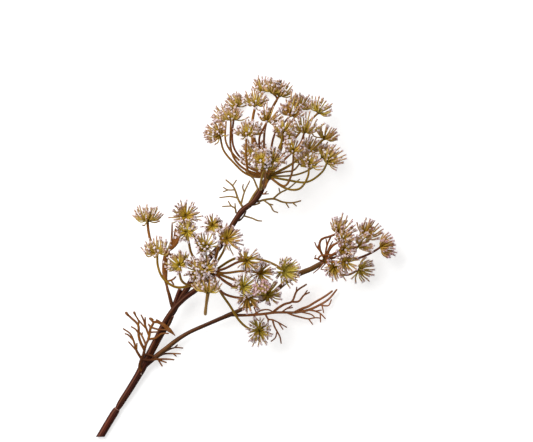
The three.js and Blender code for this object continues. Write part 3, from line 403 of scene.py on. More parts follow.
# Leaves. Each lies along a gently waved sheet of its own, which is height high at the point
# over, and rises by rise for each millimetre to the right and up the sheet. Some are as dark
# as the stalk near a place, which comes with the reach that this fades over, and some are more
# plump than others. Each strand is its radius at the root, its radius at the tip, and its
# points (x, y), where the first ones may have a height of their own inside the stem.
LOWER_LEAF = {
    "over": (142, 360), "height": 16.3, "rise": (0.02, 0.14), "wave": 0.5,
    "dark": ((146, 360), 17), "plump": 1.6,
    "strands": [
        [1.2, 0.8, [(142, 372, 10), (139.3, 367.8, 13.5), (140.4, 361.5), (143.1, 354.5),
            (145.5, 344.8), (148.1, 339.7)]],
        [0.9, 0.8, [(148.1, 339.7), (149.1, 335.6), (150.6, 327.4), (153.2, 322.9),
            (150.1, 318.8)]],
        [0.9, 0.5, [(141.5, 359.5), (136.3, 351), (134.8, 345.8), (132.2, 338.2), (129.7, 333.6),
            (123.1, 329)]],
        [0.6, 0.5, [(132.8, 340.2), (127.7, 335), (125, 334)]],
        [0.6, 0.5, [(136.3, 351), (131.7, 345.8), (128.4, 342.2)]],
        [0.6, 0.5, [(136.3, 351), (136.6, 343.8)]],
        [1, 0.7, [(144.3, 350), (140.4, 342.8), (138.4, 335.6), (137.9, 325.4), (131.2, 318.3),
            (125.6, 313.2)]],
        [0.6, 0.5, [(138.2, 333.5), (135.3, 329.5), (131.2, 327)]],
        [0.7, 0.5, [(137.9, 325.4), (138.6, 321.8), (133.8, 313.2)]],
        [0.6, 0.5, [(146.3, 329), (141.9, 324.4), (138.4, 320.3)]],
        [0.7, 0.5, [(145.4, 344.3), (141.4, 335.6), (138.6, 331.5)]],
        [0.8, 0.5, [(149, 336), (146.5, 330), (143, 319.3), (140.9, 315.2)]],
        [0.6, 0.5, [(145.2, 326), (145, 317.8)]],
        [0.8, 0.5, [(148.1, 339.7), (156.7, 337.7), (160.8, 334), (168, 333.6)]],
        [0.6, 0.5, [(149.7, 332.6), (153.4, 332.3), (157.6, 332.2)]],
        [0.6, 0.6, [(150.5, 328.2), (149.6, 326.4), (148.5, 324.6)]],
        [0.5, 0.5, [(141.6, 336.2), (142, 333.2)]],
        [0.5, 1.1, [(155.8, 319.8), (158.2, 321.2), (160.8, 323.6), (163.5, 325)]],
        [0.7, 0.5, [(150.6, 327.4), (157.8, 329.5), (165.9, 330)]],
        [0.8, 1.2, [(153, 322.2), (158, 322.4), (163.5, 325)]],
        [1.2, 1.5, [(163.5, 325), (166.5, 327.8), (169, 330.2)]],
        [1.5, 0.3, [(169, 330.2), (172, 332.8), (174.8, 335.8)]],
        [0.7, 0.5, [(143.5, 354.5), (150.6, 355.5), (155.7, 358)]],
        [0.9, 0.5, [(141.5, 359.5), (148.6, 360.4), (155.7, 359.6), (168.5, 359.5),
            (173.6, 360.1)]],
        [0.6, 0.5, [(156.7, 359.6), (165.9, 362.7)]],
        [0.6, 0.5, [(157.8, 359.6), (161.8, 366.2)]],
        [0.8, 1, [(128.4, 316), (127, 314.4), (126, 313.2)]],
        [0.6, 0.9, [(135.4, 315.6), (134.6, 314), (134, 312.8)]],
        [0.7, 0.9, [(153, 320.4), (151.6, 319.2), (150, 318.8)]],
    ],
}
LOWER_BACK_LEAF = {
    "over": (160, 355), "height": 5, "rise": (0.04, 0.02), "wave": 0.4,
    "strands": [
        [1, 0.5, [(145.5, 365.5, 7), (154, 360, 5), (162.9, 354.6), (173.6, 354),
            (180.2, 354.2)]],
        [0.6, 0.5, [(172.8, 354), (175.9, 356.5)]],
        [0.8, 0.5, [(157, 358), (164.9, 352), (174.6, 348), (182.5, 348.4)]],
        [0.6, 0.5, [(174.4, 348), (177, 345.4)]],
    ],
}
TALL_LEAF = {
    "over": (168, 290), "height": 21.5, "rise": (-0.02, 0.03), "wave": 0.6,
    "dark": ((175, 312), 32), "plump": 1.6,
    "strands": [
        [1.45, 0.85, [(175, 311.5, 19), (172, 306, 21), (170.4, 300.5), (169, 295), (167.5, 290),
            (166.5, 285.5)]],
        [0.85, 1.85, [(166.5, 285.5), (165.6, 281), (165, 277), (164.7, 272.5)]],
        [1.85, 1.85, [(164.7, 272.5), (164.6, 268), (164.8, 262)]],
        [1.85, 1.4, [(164.8, 262), (165.9, 255.5), (168.2, 250)]],
        [1.4, 1.1, [(168.2, 250), (172.5, 247), (176.4, 242.6), (178.5, 237.5), (179, 230.5)]],
        [1.3, 0.9, [(170.4, 248.4), (174.2, 243.6), (176, 237.5), (177, 230)]],
        [0.9, 0.5, [(169.8, 248.6), (171.3, 241.5), (171.8, 232), (172, 223)]],
        [0.95, 0.5, [(171.6, 247), (174, 238.5), (175.2, 229)]],
        [0.7, 0.5, [(164.5, 281.6), (170.4, 280.5), (173.5, 279), (175.5, 277)]],
        [0.6, 0.5, [(170.8, 280.4), (173.5, 284.6)]],
    ],
}
RIGHT_LEAF = {
    "over": (230, 315), "height": 16.5, "rise": (-0.1, 0.02), "wave": 0.7,
    "dark": ((225, 316.6), 30), "plump": 1.35,
    "strands": [
        [1.1, 1.2, [(225, 316.6, 16.6), (230.4, 315.4, 16.4), (238.3, 315.5)]],
        [1.2, 0.95, [(238.3, 315.5), (248.4, 315.3), (261.8, 314.4), (275.2, 312.8),
            (295.3, 312.8)]],
        [1.1, 0.7, [(295.3, 312.8), (308.7, 310.1), (320.7, 304.7), (328.8, 299.4),
            (336.8, 290)]],
        [0.8, 0.5, [(253.8, 314.8), (260.5, 310.8), (268.5, 310), (273.8, 312.6)]],
        [1.1, 0.7, [(272.6, 312.9), (278.5, 308), (284.6, 304.4), (291.9, 301.8), (297, 291.2),
            (306.3, 284.7)]],
        [0.6, 0.5, [(296.3, 292), (296.8, 287.5)]],
        [0.9, 0.6, [(291.4, 302), (298.6, 301.6), (304, 295.4), (309.3, 292.7)]],
        [0.6, 0.5, [(304, 295.4), (307.3, 290.7)]],
        [0.7, 0.5, [(281.9, 312.7), (285.9, 309.4), (292.6, 307.7)]],
        [0.6, 0.5, [(285.9, 309.4), (291.9, 305.7)]],
        [1.1, 0.8, [(294.3, 312.8), (302, 309), (308, 306.8), (315.4, 302.3), (325.4, 296.4),
            (332.1, 291.5)]],
        [0.7, 0.5, [(320, 305.1), (325.4, 306), (328.8, 305.7), (331.5, 300)]],
        [0.6, 0.5, [(322.1, 305.3), (323.8, 312.8)]],
        [0.8, 0.5, [(308.7, 310.1), (315.4, 311.4), (320.7, 314), (325.4, 318.8)]],
        [0.6, 0.5, [(315.4, 311.4), (321.4, 310.4)]],
        [0.6, 0.5, [(320.4, 313.8), (320.7, 322.2)]],
        [0.8, 0.5, [(287, 312.8), (291.9, 315), (302, 317.8), (308.7, 319.1), (315.4, 318),
            (320.7, 318.4)]],
        [0.6, 0.5, [(308.7, 319.1), (312.7, 324.5)]],
        [0.6, 0.5, [(301, 312.3), (311.4, 314.8), (314.7, 317.5)]],
        [0.7, 0.5, [(257.8, 314.7), (256.4, 312.8), (253.8, 307.4)]],
        [0.7, 0.5, [(252.8, 315.1), (258.4, 320.8)]],
        [0.8, 0.5, [(265.2, 314.2), (268.5, 319.5), (272.5, 320), (278.5, 322.8),
            (286.6, 327.5)]],
        [0.6, 0.5, [(278.5, 322.8), (282.9, 329.5)]],
        [0.7, 0.5, [(268.2, 319.3), (267.8, 329), (267.8, 339.6)]],
        [0.8, 0.5, [(272.5, 320), (274.5, 326.8), (279.9, 337), (281.2, 343.6)]],
        [0.6, 0.5, [(277, 332.2), (275.2, 338.2), (271.2, 341.6)]],
    ],
}
UPPER_LEFT_LEAF = {
    "over": (242, 206.8), "height": 42, "rise": (0.14, 0), "wave": 0.5,
    "strands": [
        [1, 0.6, [(244.5, 209.5, 43.5), (242, 206), (238.5, 200), (235, 190), (232.3, 185.5),
            (226, 180)]],
        [0.6, 0.5, [(232.5, 185.8), (236.4, 180.2)]],
        [0.6, 0.5, [(234.9, 189.8), (227.8, 189.8), (223.4, 187.4)]],
        [0.6, 0.5, [(228.2, 189.8), (223.4, 191.7)]],
        [0.7, 0.5, [(237.7, 198), (230.6, 196.5), (219.8, 197.6)]],
        [0.8, 0.5, [(241, 204.4), (244.3, 192.3), (249.7, 181)]],
        [0.6, 0.5, [(244.3, 192.3), (242.7, 187.4), (243.2, 184.6)]],
    ],
}
UPPER_JOINT_LEAF = {
    "over": (236, 213), "height": 40, "rise": (0.1, 0), "wave": 0.4,
    "strands": [
        [0.9, 0.5, [(240, 214, 41.5), (236.2, 212.6), (235.2, 208.4), (231.2, 205.8),
            (228.3, 201.2)]],
        [0.6, 0.5, [(231.6, 206), (222.5, 206.4)]],
        [0.6, 0.5, [(235.3, 208.6), (235, 203.6)]],
    ],
}
HUB_LEAF = {
    "over": (251, 199), "height": 46, "rise": (0, -0.25), "wave": 0.2,
    "strands": [
        [1, 0.9, [(249.6, 202.4, 45.5), (252.4, 197.4, 47), (255, 193.2), (258, 189.3)]],
        [0.8, 0.5, [(258, 189.3), (256, 184.5), (253.6, 179), (249, 174.6), (244.6, 169.4)]],
    ],
}
INNER_RIGHT_LEAF = {
    "over": (239, 220.6), "height": 38, "rise": (-0.1, -0.1), "wave": 0.3,
    "strands": [
        [0.9, 0.5, [(234.8, 220, 40), (239.5, 220.3), (244, 215.4), (246, 211.5)]],
        [0.7, 0.5, [(243.7, 215.8), (252, 218.2), (257.7, 220.6), (261.6, 221)]],
    ],
}
UPPER_RIGHT_LEAF = {
    "over": (257, 201), "height": 44.5, "rise": (-0.14, -0.05), "wave": 0.6,
    "strands": [
        [1, 0.6, [(254, 200.5, 46), (257.5, 201.5, 45), (263.8, 199.9), (273.5, 198.8),
            (283.3, 202.1), (293, 202.6), (300.6, 200.8)]],
        [0.6, 0.5, [(285.5, 202.3), (288.7, 207.5)]],
        [0.6, 0.5, [(292.6, 202.6), (296.3, 205.9)]],
        [0.8, 0.5, [(273, 198.9), (280, 192.9), (287.6, 189), (299.5, 179.3)]],
        [0.6, 0.5, [(280, 192.9), (279, 188.5)]],
        [0.7, 0.5, [(263.4, 200), (270.3, 205.3), (273.6, 210.9), (277.6, 212.4)]],
        [0.6, 0.5, [(268.5, 203.8), (272.8, 204.8)]],
        [0.8, 0.6, [(251.5, 205, 44.5), (256, 204.4), (259.6, 203.2)]],
    ],
}

# The ways to close a strand: rings from its rim inwards, each with its share of the last
# radius and how many radii it is past the last place
ROUND_END = [(0.82, 0.57), (0.47, 0.88), (0.14, 0.99)]
BLUNT_END = [(0.75, 0.5)]
WORN_SHOULDER = [(0.93, 0.1), (0.6, 0.12)]
OPEN_SHEATH = [(0.92, 0.06), (0.8, 0), (0.72, -0.4), (0.62, -2.2), (0.2, -2.4)]
WOODY_CUT = [(0.93, 0.05), (0.6, 0.03), (0.55, -0.25), (0.2, -0.3)]
PITH_FACE = [(0.9, -0.3), (0.5, -0.2), (0.2, -0.28)]

# How the parts of the plant are drawn, in millimetres. A step is the length between two rings
# of a strand. Ribs are given by their number and their depth as a share of the radius, and
# then the same for the finer ribs on them. A mesh is the sides and bands of a ball, and thin
# is how thick a petal is for its width.
STEM_SIDES = 80
STEM_STEP = 1.4
STEM_RIBS = (9, 0.09, 20, 0.012)
BRANCH_RIBS = (7, 0.08, 16, 0.012)
SHEATH_RIBS = (7, 0.08)
GROOVE_POWER = 3
SQUARED_REACH = 9
PITH_SHARE = 0.57
SCAR_STEP = 0.5
LEAF_SIDES = 10
LEAF_STEP = 1.2
LEAF_RIBS = (3, 0.16)
LEAF_WAVE = (7, 6)
THREAD_PLUMP = 1.35
RAY_SIDES = 14
RAY_STEP = 1.6
RAY_RIBS = (5, 0.12)
BRACT_TONE = 0.85
HUB_MESH = (24, 14)
CORE_RADII = (1.7, 2.1)
CORE_MESH = (14, 8)
FRUIT = {"length": 2.2, "radii": (0.78, 0.86, 0.9, 0.8), "ribs": (4, 0.2), "sides": 8, "step": 0.7}
PETALS = {"count": 5, "thin": 0.35, "sides": 4, "step": 0.6}
CUSHION_RADII = (0.3, 0.45)
CUSHION_MESH = (6, 3)

# The rows of a petal: how far out it is, its rise above the fruit, and its radius
PETAL_PROFILE = [(0.3, -0.25, 0.3), (1.05, 0.0, 0.6), (1.12, 0.6, 0.36)]

# Pedicels. The length of each is drawn from shortest to longest, as shares of the full length,
# and shortest falls where the umbellet faces up. One whose tip is seen has the share seen. Each
# starts inside its core, leans by shares of its own way and of the way that the umbellet faces,
# turns up by cup, is bowed by about bow, and stands up to turn away from an even spread. They
# leave the middle of the umbellet open, and splay from it most where it faces up. Root and tip
# are their radii.
PEDICEL = {
    "length": 14.3, "longest": 1.1, "shortest": 0.84, "shorter_up": 0.2, "seen": 1.08,
    "start": 0.08, "lean": (0.86, 0.22), "cup": 0.12, "bow": 0.35, "open": 0.06, "splay": 0.28,
    "spread": 1.02, "turn": 0.7, "root": 0.72, "tip": 0.78, "sides": 6, "step": 3,
}
GOLDEN_ANGLE = math.pi * (3 - math.sqrt(5))

# A pedicel stays this far clear of the stalks and leaves near its core, or else is tried again
# turned further aside. It also stays above the surface.
CLEARANCE = 0.9
LOOK_ROUND = 30
TURNS_ASIDE = np.arange(8) * 0.3
LOWEST_TIP = 1.1

# What the florets are unless their umbellet says otherwise, and how they vary
RIPE = 0.45
RIPE_SPREAD = 0.3
BARE_SHARE = 0.3
PINK_SHARE = 0.25
FLORET_SIZES = (0.85, 1.1)

# Growing strands into meshes

UP = np.array([0, 0, 1.0])
RIGHT = np.array([1.0, 0, 0])
NEARLY_ALONG = 0.95
FLORET_UPRIGHT = 0.05
UMBELLET_UPRIGHT = 0.1
FACES_UP = 0.25
CURVE_SAMPLES = 24
SHORTEST_GAP = 1e-3
POLE_TURN = math.radians(80)

# The grain is moved along from one strand or floret to the next, so that no two look the same
STRAND_SHIFT = 0.37
GRAFT_SHIFT = 11


def unit(vector):
    return np.asarray(vector, float) / np.linalg.norm(vector)


def level_way(way, upright):
    """A level way across another one, or to the right where that one is nearly upright."""
    side = np.cross(UP, way)
    return RIGHT if np.linalg.norm(side) < upright else unit(side)


def smooth_route(points, step):
    """Rows spaced step apart on the centripetal curve through points, with their other
    numbers, and how far along the curve each of them is."""
    points = np.array(points, float)
    if len(points) == 2:
        points = np.insert(points, 1, points.mean(axis=0), axis=0)
    ends = [2 * points[0] - points[1], 2 * points[-1] - points[-2]]
    knots = np.vstack([ends[0], points, ends[1]])
    places = knots[:, :3]
    spans = np.linalg.norm(np.diff(places, axis=0), axis=1)
    gaps = np.maximum(np.sqrt(spans), SHORTEST_GAP)
    part = np.linspace(0, 1, CURVE_SAMPLES, endpoint=False)[:, None]
    rows = []
    for i in range(len(points) - 1):
        before, start, end, after = places[i:i + 4]
        gap0, gap1, gap2 = gaps[i:i + 3]
        leave = (start - before) / gap0 - (end - before) / (gap0 + gap1) + (end - start) / gap1
        arrive = (end - start) / gap1 - (after - start) / (gap1 + gap2) + (after - end) / gap2
        leave, arrive = leave * gap1, arrive * gap1
        curve = (
            start
            + leave * part
            + (3 * (end - start) - 2 * leave - arrive) * part ** 2
            + (2 * (start - end) + leave + arrive) * part ** 3
        )
        others = points[i, 3:] + (points[i + 1, 3:] - points[i, 3:]) * part
        rows.append(np.hstack([curve, others]))
    rows.append(points[-1:])
    rows = np.vstack(rows)
    reach = np.append(0, np.cumsum(np.linalg.norm(np.diff(rows[:, :3], axis=0), axis=1)))
    wanted = np.linspace(0, reach[-1], max(3, round(reach[-1] / step) + 1))
    return np.column_stack([np.interp(wanted, reach, column) for column in rows.T]), wanted


def end_rings(row, outward, end):
    """The middles and radii of the rings that close a strand at one of its rows."""
    shares, past = np.reshape(end, (-1, 2)).T
    return row[:3] + outward * row[3] * past[:, None], row[3] * shares


def turning_frames(centres, up):
    """The way forward at each centre, and two ways across it that never twist."""
    forward = np.gradient(centres, axis=0)
    forward /= np.linalg.norm(forward, axis=1)[:, None]
    across = np.empty_like(forward)
    last = RIGHT if abs(forward[0] @ up) > NEARLY_ALONG else up
    for i, way in enumerate(forward):
        last = unit(last - (last @ way) * way)
        across[i] = last
    return forward, across, np.cross(forward, across)


def ribs(count, depth, fine_count=0, fine_depth=0):
    """A section with broad ribs between narrow grooves, and finer ribs on those."""
    return lambda angle: (
        1
        - depth * (0.5 + 0.5 * np.cos(count * angle)) ** GROOVE_POWER
        + fine_depth * np.cos(fine_count * angle)
    )


ROUND_SECTION = ribs(1, 0)


class Growth:
    """Gathers closed strands into one mesh, with what the materials read at each corner."""

    def __init__(self):
        self.corners = []
        self.quads = []
        self.triangles = []
        self.along = []
        self.tone = []
        self.grain = []
        self.size = 0

    def skin(self, rings, grain, along, tones):
        """Rings of corners from root to tip, closed at each end by a point in their middle."""
        count, sides = rings.shape[:2]
        index = self.size + np.arange(count * sides).reshape(count, sides)
        turned = np.roll(index, -1, axis=1)
        self.quads.append(
            np.stack([index[:-1], turned[:-1], turned[1:], index[1:]], axis=-1).reshape(-1, 4)
        )
        root_index, tip_index = self.size + count * sides, self.size + count * sides + 1
        ends = [
            (np.full(sides, root_index), turned[0], index[0]),
            (np.full(sides, tip_index), index[-1], turned[-1]),
        ]
        self.triangles.extend(np.column_stack(end) for end in ends)
        self.corners.extend([rings.reshape(-1, 3), rings[[0, -1]].mean(axis=1)])
        self.grain.extend([grain.reshape(-1, 3), grain[[0, -1]].mean(axis=1)])
        self.along.extend([np.repeat(along, sides), along[[0, -1]]])
        self.tone.extend([np.repeat(tones, sides), tones[[0, -1]]])
        self.size += count * sides + 2

    def strand(self, points, sides, step, *, tone=0.5, section=ROUND_SECTION, thin=1, root=(),
               tip=ROUND_END, squared=0, up=UP):
        """A rod through points of x, y, z and radius in millimetres, with a tone of their own
        or the same all along. Its root is cut across the sheet where squared is the length
        that this fades over."""
        route, reach = smooth_route(points, step)
        turned = turning_frames(route[:, :3], up)
        root_places, root_radii = end_rings(route[0], -turned[0][0], root)
        tip_places, tip_radii = end_rings(route[-1], turned[0][-1], tip)
        centres = np.vstack([root_places[::-1], route[:, :3], tip_places])
        radii = np.hstack([root_radii[::-1], route[:, 3], tip_radii])[:, None]
        row = np.clip(np.arange(len(centres)) - len(root_radii), 0, len(route) - 1)
        forward, across, beside = (way[row][:, None] for way in turned)
        angle = np.linspace(0, 2 * math.pi, sides, endpoint=False)
        wide = radii * section(angle) * np.cos(angle)
        high = radii * section(angle) * np.sin(angle) * thin
        rings = centres[:, None] + wide[..., None] * across + high[..., None] * beside
        if squared:
            slide = (centres[:, 1:2] - rings[..., 1]) / forward[..., 1]
            slide *= np.clip(1 - reach[row] / squared, 0, 1)[:, None]
            rings += slide[..., None] * forward
        tones = route[row, 4] if route.shape[1] > 4 else np.full(len(row), tone)
        length = reach[row][:, None] + STRAND_SHIFT * self.size
        grain = np.stack([wide, high, np.broadcast_to(length, wide.shape)], axis=-1)
        self.skin(rings, grain, reach[row] / reach[-1], tones)
        return route

    def ball(self, centre, axis, along_radius, across_radius, sides, bands, tone=0.5):
        """A rounded swelling, as wide all round its axis."""
        turn = np.linspace(-1, 1, bands) * POLE_TURN
        _, across, beside = turning_frames(np.array([centre, centre + axis]), UP)
        angle = np.linspace(0, 2 * math.pi, sides, endpoint=False)
        ring = np.cos(angle)[:, None] * across[0] + np.sin(angle)[:, None] * beside[0]
        middles = centre + np.sin(turn)[:, None] * along_radius * axis
        rings = middles[:, None] + (np.cos(turn) * across_radius)[:, None, None] * ring
        self.skin(rings, rings - centre, np.linspace(0, 1, len(turn)), np.full(len(turn), tone))

    def graft(self, model, centre, turned, tone):
        """A copy of another growth, turned by a matrix and moved to its centre."""
        corners = np.vstack(model.corners)
        self.corners.append(corners @ turned.T + centre)
        self.quads.extend(quads + self.size for quads in model.quads)
        self.triangles.extend(triangles + self.size for triangles in model.triangles)
        self.grain.append(np.vstack(model.grain) + GRAFT_SHIFT * tone)
        self.along.append(np.hstack(model.along))
        self.tone.append(np.full(len(corners), tone))
        self.size += len(corners)

    def piece(self, name, material, slot, *nodes):
        """The finished object, which stands for its CAD nodes."""
        corners = np.vstack(self.corners)
        corners[:, 2] = np.maximum(corners[:, 2], 0)
        faces = [*np.vstack(self.quads).tolist(), *np.vstack(self.triangles).tolist()]
        mesh = bpy.data.meshes.new(name)
        mesh.from_pydata((corners * MM).tolist(), [], faces)
        for label, kind, field, values in [
            ("along", "FLOAT", "value", np.hstack(self.along)),
            ("tone", "FLOAT", "value", np.hstack(self.tone)),
            ("grain", "FLOAT_VECTOR", "vector", np.vstack(self.grain).ravel()),
        ]:
            mesh.attributes.new(label, kind, "POINT").data.foreach_set(field, values)
        mesh.shade_smooth()
        mesh.materials.append(material)
        made = add_object(name, mesh)
        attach(made, "root")
        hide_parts(*nodes)


# Materials

# How plant skin reflects, how rough its streaks are, and how frost lies on it. FROST_EDGE is
# how softly a grain ends, and FROST_ALONG the shares of a strand where frost starts and where
# it is as strong as it gets.
PLANT_IOR = 1.45
PLANT_SPECULAR = 0.12
STREAK_ROUGHNESS = 0.6
FROST_EDGE = 0.05
FROST_ALONG = (0.3, 0.85)


def colour(code):
    """A hex sRGB colour as the linear one that a shader takes."""
    parts = [int(code[i:i + 2], 16) / 255 for i in (1, 3, 5)]
    return [*(p / 12.92 if p <= 0.04045 else ((p + 0.055) / 1.055) ** 2.4 for p in parts), 1]


def add_node(material, kind, links=None, stops=None, **settings):
    """A node with its settings, its sockets' values or links, and the stops of a colour ramp."""
    tree = material.node_tree
    made = tree.nodes.new(kind)
    for name, value in settings.items():
        setattr(made, name, value)
    for socket, value in (links or {}).items():
        if isinstance(value, bpy.types.NodeSocket):
            tree.links.new(value, made.inputs[socket])
        else:
            made.inputs[socket].default_value = value
    if stops:
        elements = made.color_ramp.elements
        while len(elements) < len(stops):
            elements.new(1)
        for element, (position, code) in zip(elements, stops):
            element.position = position
            element.color = colour(code)
    return made


def new_material(name):
    material = bpy.data.materials.new(name)
    material.use_nodes = True
    material.node_tree.nodes.clear()
    return material


def finish_material(material, base, relief, height_mm, roughness, **shader):
    """The shader of a plant skin, with its relief raised by a height in millimetres."""
    bump = add_node(material, "ShaderNodeBump", {"Height": relief, "Distance": height_mm * MM})
    skin = add_node(material, "ShaderNodeBsdfPrincipled", {
        "Base Color": base, "Roughness": roughness, "Normal": bump.outputs["Normal"],
        "IOR": PLANT_IOR, "Specular IOR Level": PLANT_SPECULAR,
        **{socket.replace("_", " "): value for socket, value in shader.items()},
    })
    add_node(material, "ShaderNodeOutputMaterial", {"Surface": skin.outputs["BSDF"]})
    return material


def streaks(material, across_mm, along_mm, detail=3):
    """Noise drawn out along each strand: its marks are across_mm wide and along_mm long."""
    grain = add_node(material, "ShaderNodeAttribute", attribute_name="grain")
    stretched = add_node(material, "ShaderNodeMapping", {
        "Vector": grain.outputs["Vector"], "Scale": (1 / across_mm, 1 / across_mm, 1 / along_mm),
    })
    return add_node(material, "ShaderNodeTexNoise", {
        "Vector": stretched.outputs["Vector"], "Scale": 1.0, "Detail": detail,
        "Roughness": STREAK_ROUGHNESS,
    })


def flank(material, low, high, most):
    """A share that grows to most from low to high across a stalk, where -1 is its upper-left
    flank, towards the softbox, and 1 its lower-right flank, away from it, on a stalk that runs up
    to the right. It places the stalk's painted highlight and painted shade."""
    grain = add_node(material, "ShaderNodeAttribute", attribute_name="grain")
    across = add_node(material, "ShaderNodeVectorMath", {
        0: grain.outputs["Vector"], 1: (1, 1, 0),
    }, operation="MULTIPLY")
    way = add_node(material, "ShaderNodeVectorMath", {
        0: across.outputs["Vector"],
    }, operation="NORMALIZE")
    side = add_node(material, "ShaderNodeSeparateXYZ", {"Vector": way.outputs["Vector"]})
    return add_node(material, "ShaderNodeMapRange", {
        "Value": side.outputs["Y"], "From Min": low, "From Max": high, "To Max": most,
    }).outputs["Result"]


def coloured_by(material, reading, stops):
    """A colour that follows what the corners hold as along or as tone."""
    read = add_node(material, "ShaderNodeAttribute", attribute_name=reading)
    ramp = add_node(material, "ShaderNodeValToRGB", {"Fac": read.outputs["Fac"]}, stops)
    return ramp.outputs["Color"]


def tinged(material, base, reading, low, high, most, code):
    """A base colour that turns by up to most to another one, from low to high of what the
    corners hold as along or as tone."""
    read = add_node(material, "ShaderNodeAttribute", attribute_name=reading)
    share = add_node(material, "ShaderNodeMapRange", {
        "Value": read.outputs["Fac"], "From Min": low, "From Max": high, "To Max": most,
    })
    return add_node(material, "ShaderNodeMix", {
        0: share.outputs["Result"], 6: base, 7: colour(code),
    }, data_type="RGBA").outputs[2]


def grooved(material, base, fine, stops):
    """A base colour, darker in the fine grooves of its skin, as painted shade in them."""
    dark = add_node(material, "ShaderNodeValToRGB", {"Fac": fine.outputs["Fac"]}, stops)
    return add_node(material, "ShaderNodeMix", {
        0: 1.0, 6: base, 7: dark.outputs["Color"],
    }, data_type="RGBA", blend_type="MULTIPLY").outputs[2]


def frosted(material, base, size_mm, share, strength, code):
    """Pale frost on a base colour: grains of size_mm, which get denser towards a strand's tip.
    Real frost grains are finer, and these are as coarse as they need to be to show."""
    grain = add_node(material, "ShaderNodeAttribute", attribute_name="grain")
    along = add_node(material, "ShaderNodeAttribute", attribute_name="along")
    grains = add_node(material, "ShaderNodeTexNoise", {
        "Vector": grain.outputs["Vector"], "Scale": 1 / size_mm, "Detail": 2.0,
    })
    dots = add_node(material, "ShaderNodeMapRange", {
        "Value": grains.outputs["Fac"],
        "From Min": 1 - share - FROST_EDGE, "From Max": 1 - share + FROST_EDGE,
    })
    start, full = FROST_ALONG
    depth = add_node(material, "ShaderNodeMapRange", {
        "Value": along.outputs["Fac"], "From Min": start, "From Max": full, "To Max": strength,
    })
    cover = add_node(material, "ShaderNodeMath", {
        0: depth.outputs["Result"], 1: dots.outputs["Result"],
    }, operation="MULTIPLY")
    return add_node(material, "ShaderNodeMix", {
        0: cover.outputs["Value"], 6: base, 7: colour(code),
    }, data_type="RGBA").outputs[2]


def dried_stalk():
    """Dried dill stalk: thin skin on fine ribs, maroon where the sun reddened it and olive where
    it grew in shade, with a painted highlight along its upper-left flank towards the softbox,
    painted shade along its lower-right flank, and pale pinkish ends that are partly worn scars
    and partly a painted highlight on their rims."""
    material = new_material("dried_stalk_skin")
    fine = streaks(material, 0.5, 9)
    broad = streaks(material, 2.4, 45, detail=2)
    worn = add_node(material, "ShaderNodeMix", {
        0: 0.5, 2: fine.outputs["Fac"], 3: broad.outputs["Fac"],
    })
    maroon = add_node(material, "ShaderNodeValToRGB", {"Fac": worn.outputs[0]}, [
        (0.36, "#200904"), (0.5, "#361106"), (0.64, "#511d0d"),
    ])
    olive = add_node(material, "ShaderNodeValToRGB", {"Fac": worn.outputs[0]}, [
        (0.36, "#3a240c"), (0.5, "#624416"), (0.64, "#80602a"),
    ])
    tone = add_node(material, "ShaderNodeAttribute", attribute_name="tone")
    sunned = add_node(material, "ShaderNodeMix", {
        0: tone.outputs["Fac"], 6: maroon.outputs["Color"], 7: olive.outputs["Color"],
    }, data_type="RGBA")
    # Painted highlight: a pinkish band along the upper-left flank, where the softbox light falls
    painted_highlight_band = add_node(material, "ShaderNodeMath", {
        0: flank(material, -0.1, -0.35, 0.22), 1: flank(material, -0.8, -0.5, 0.22),
    }, operation="MINIMUM")
    highlighted_flank = add_node(material, "ShaderNodeMix", {
        0: painted_highlight_band.outputs["Value"], 6: sunned.outputs[2], 7: colour("#a06a52"),
    }, data_type="RGBA")
    # Painted shade: darker along the lower-right flank, away from the softbox
    shaded = add_node(material, "ShaderNodeMix", {
        0: flank(material, 0.3, 0.95, 0.52), 6: highlighted_flank.outputs[2], 7: colour("#260c06"),
    }, data_type="RGBA")
    # Pale pinkish ends: partly worn scars and partly a painted highlight on their rims
    pale_ends_and_rim_highlight = tinged(material, shaded.outputs[2], "along", 0.985, 1.0, 0.55, "#a8786a")
    gloss = add_node(material, "ShaderNodeMapRange", {
        "Value": broad.outputs["Fac"], "From Min": 0.3, "From Max": 0.7,
        "To Min": 0.4, "To Max": 0.6,
    })
    return finish_material(
        material, pale_ends_and_rim_highlight, fine.outputs["Fac"], 0.2, gloss.outputs["Result"],
        Specular_IOR_Level=0.1,
    )


def ray_skin():
    """Dried ray: a smooth stalk that turned olive, chestnut or maroon, darker where it is old,
    with painted shade in its grooves.
    """
    material = new_material("dried_ray_skin")
    aged = coloured_by(material, "tone", [
        (0, "#8c741c"), (0.15, "#96721e"), (0.4, "#986824"), (0.7, "#8c5626"), (1, "#70381c"),
    ])
    fine = streaks(material, 0.6, 8)
    # Painted shade in the fine grooves that the same streaks raise as bump
    base = grooved(material, aged, fine, [(0.35, "#b8aea2"), (0.6, "#ffffff")])
    return finish_material(material, base, fine.outputs["Fac"], 0.15, 0.5)


def pedicel_skin():
    """Dried pedicel: olive gold that is tan at its tip and dark at its root, partly its own darker
    olive and partly painted shade where the pedicels crowd into the core, greener on a young
    umbellet and brown on a ripe one, with pale frost grains on it."""
    material = new_material("frosted_pedicel_skin")
    # Darker first stops: partly the pedicel's own olive and partly painted shade at the crowded
    # core
    along_colour = coloured_by(material, "along", [
        (0, "#4c3a08"), (0.12, "#7a5e10"), (0.27, "#ac8e28"), (0.6, "#b89a40"), (0.85, "#b09264"),
        (1, "#a88476"),
    ])
    browned = tinged(material, along_colour, "tone", 0.5, 1.0, 0.7, "#a87832")
    greened = tinged(material, browned, "tone", 0.4, 0.0, 0.6, "#b6aa4a")
    pale = frosted(material, greened, 0.8, 0.34, 0.42, "#e2dadc")
    fine = streaks(material, 0.3, 3)
    return finish_material(material, pale, fine.outputs["Fac"], 0.08, 0.6)


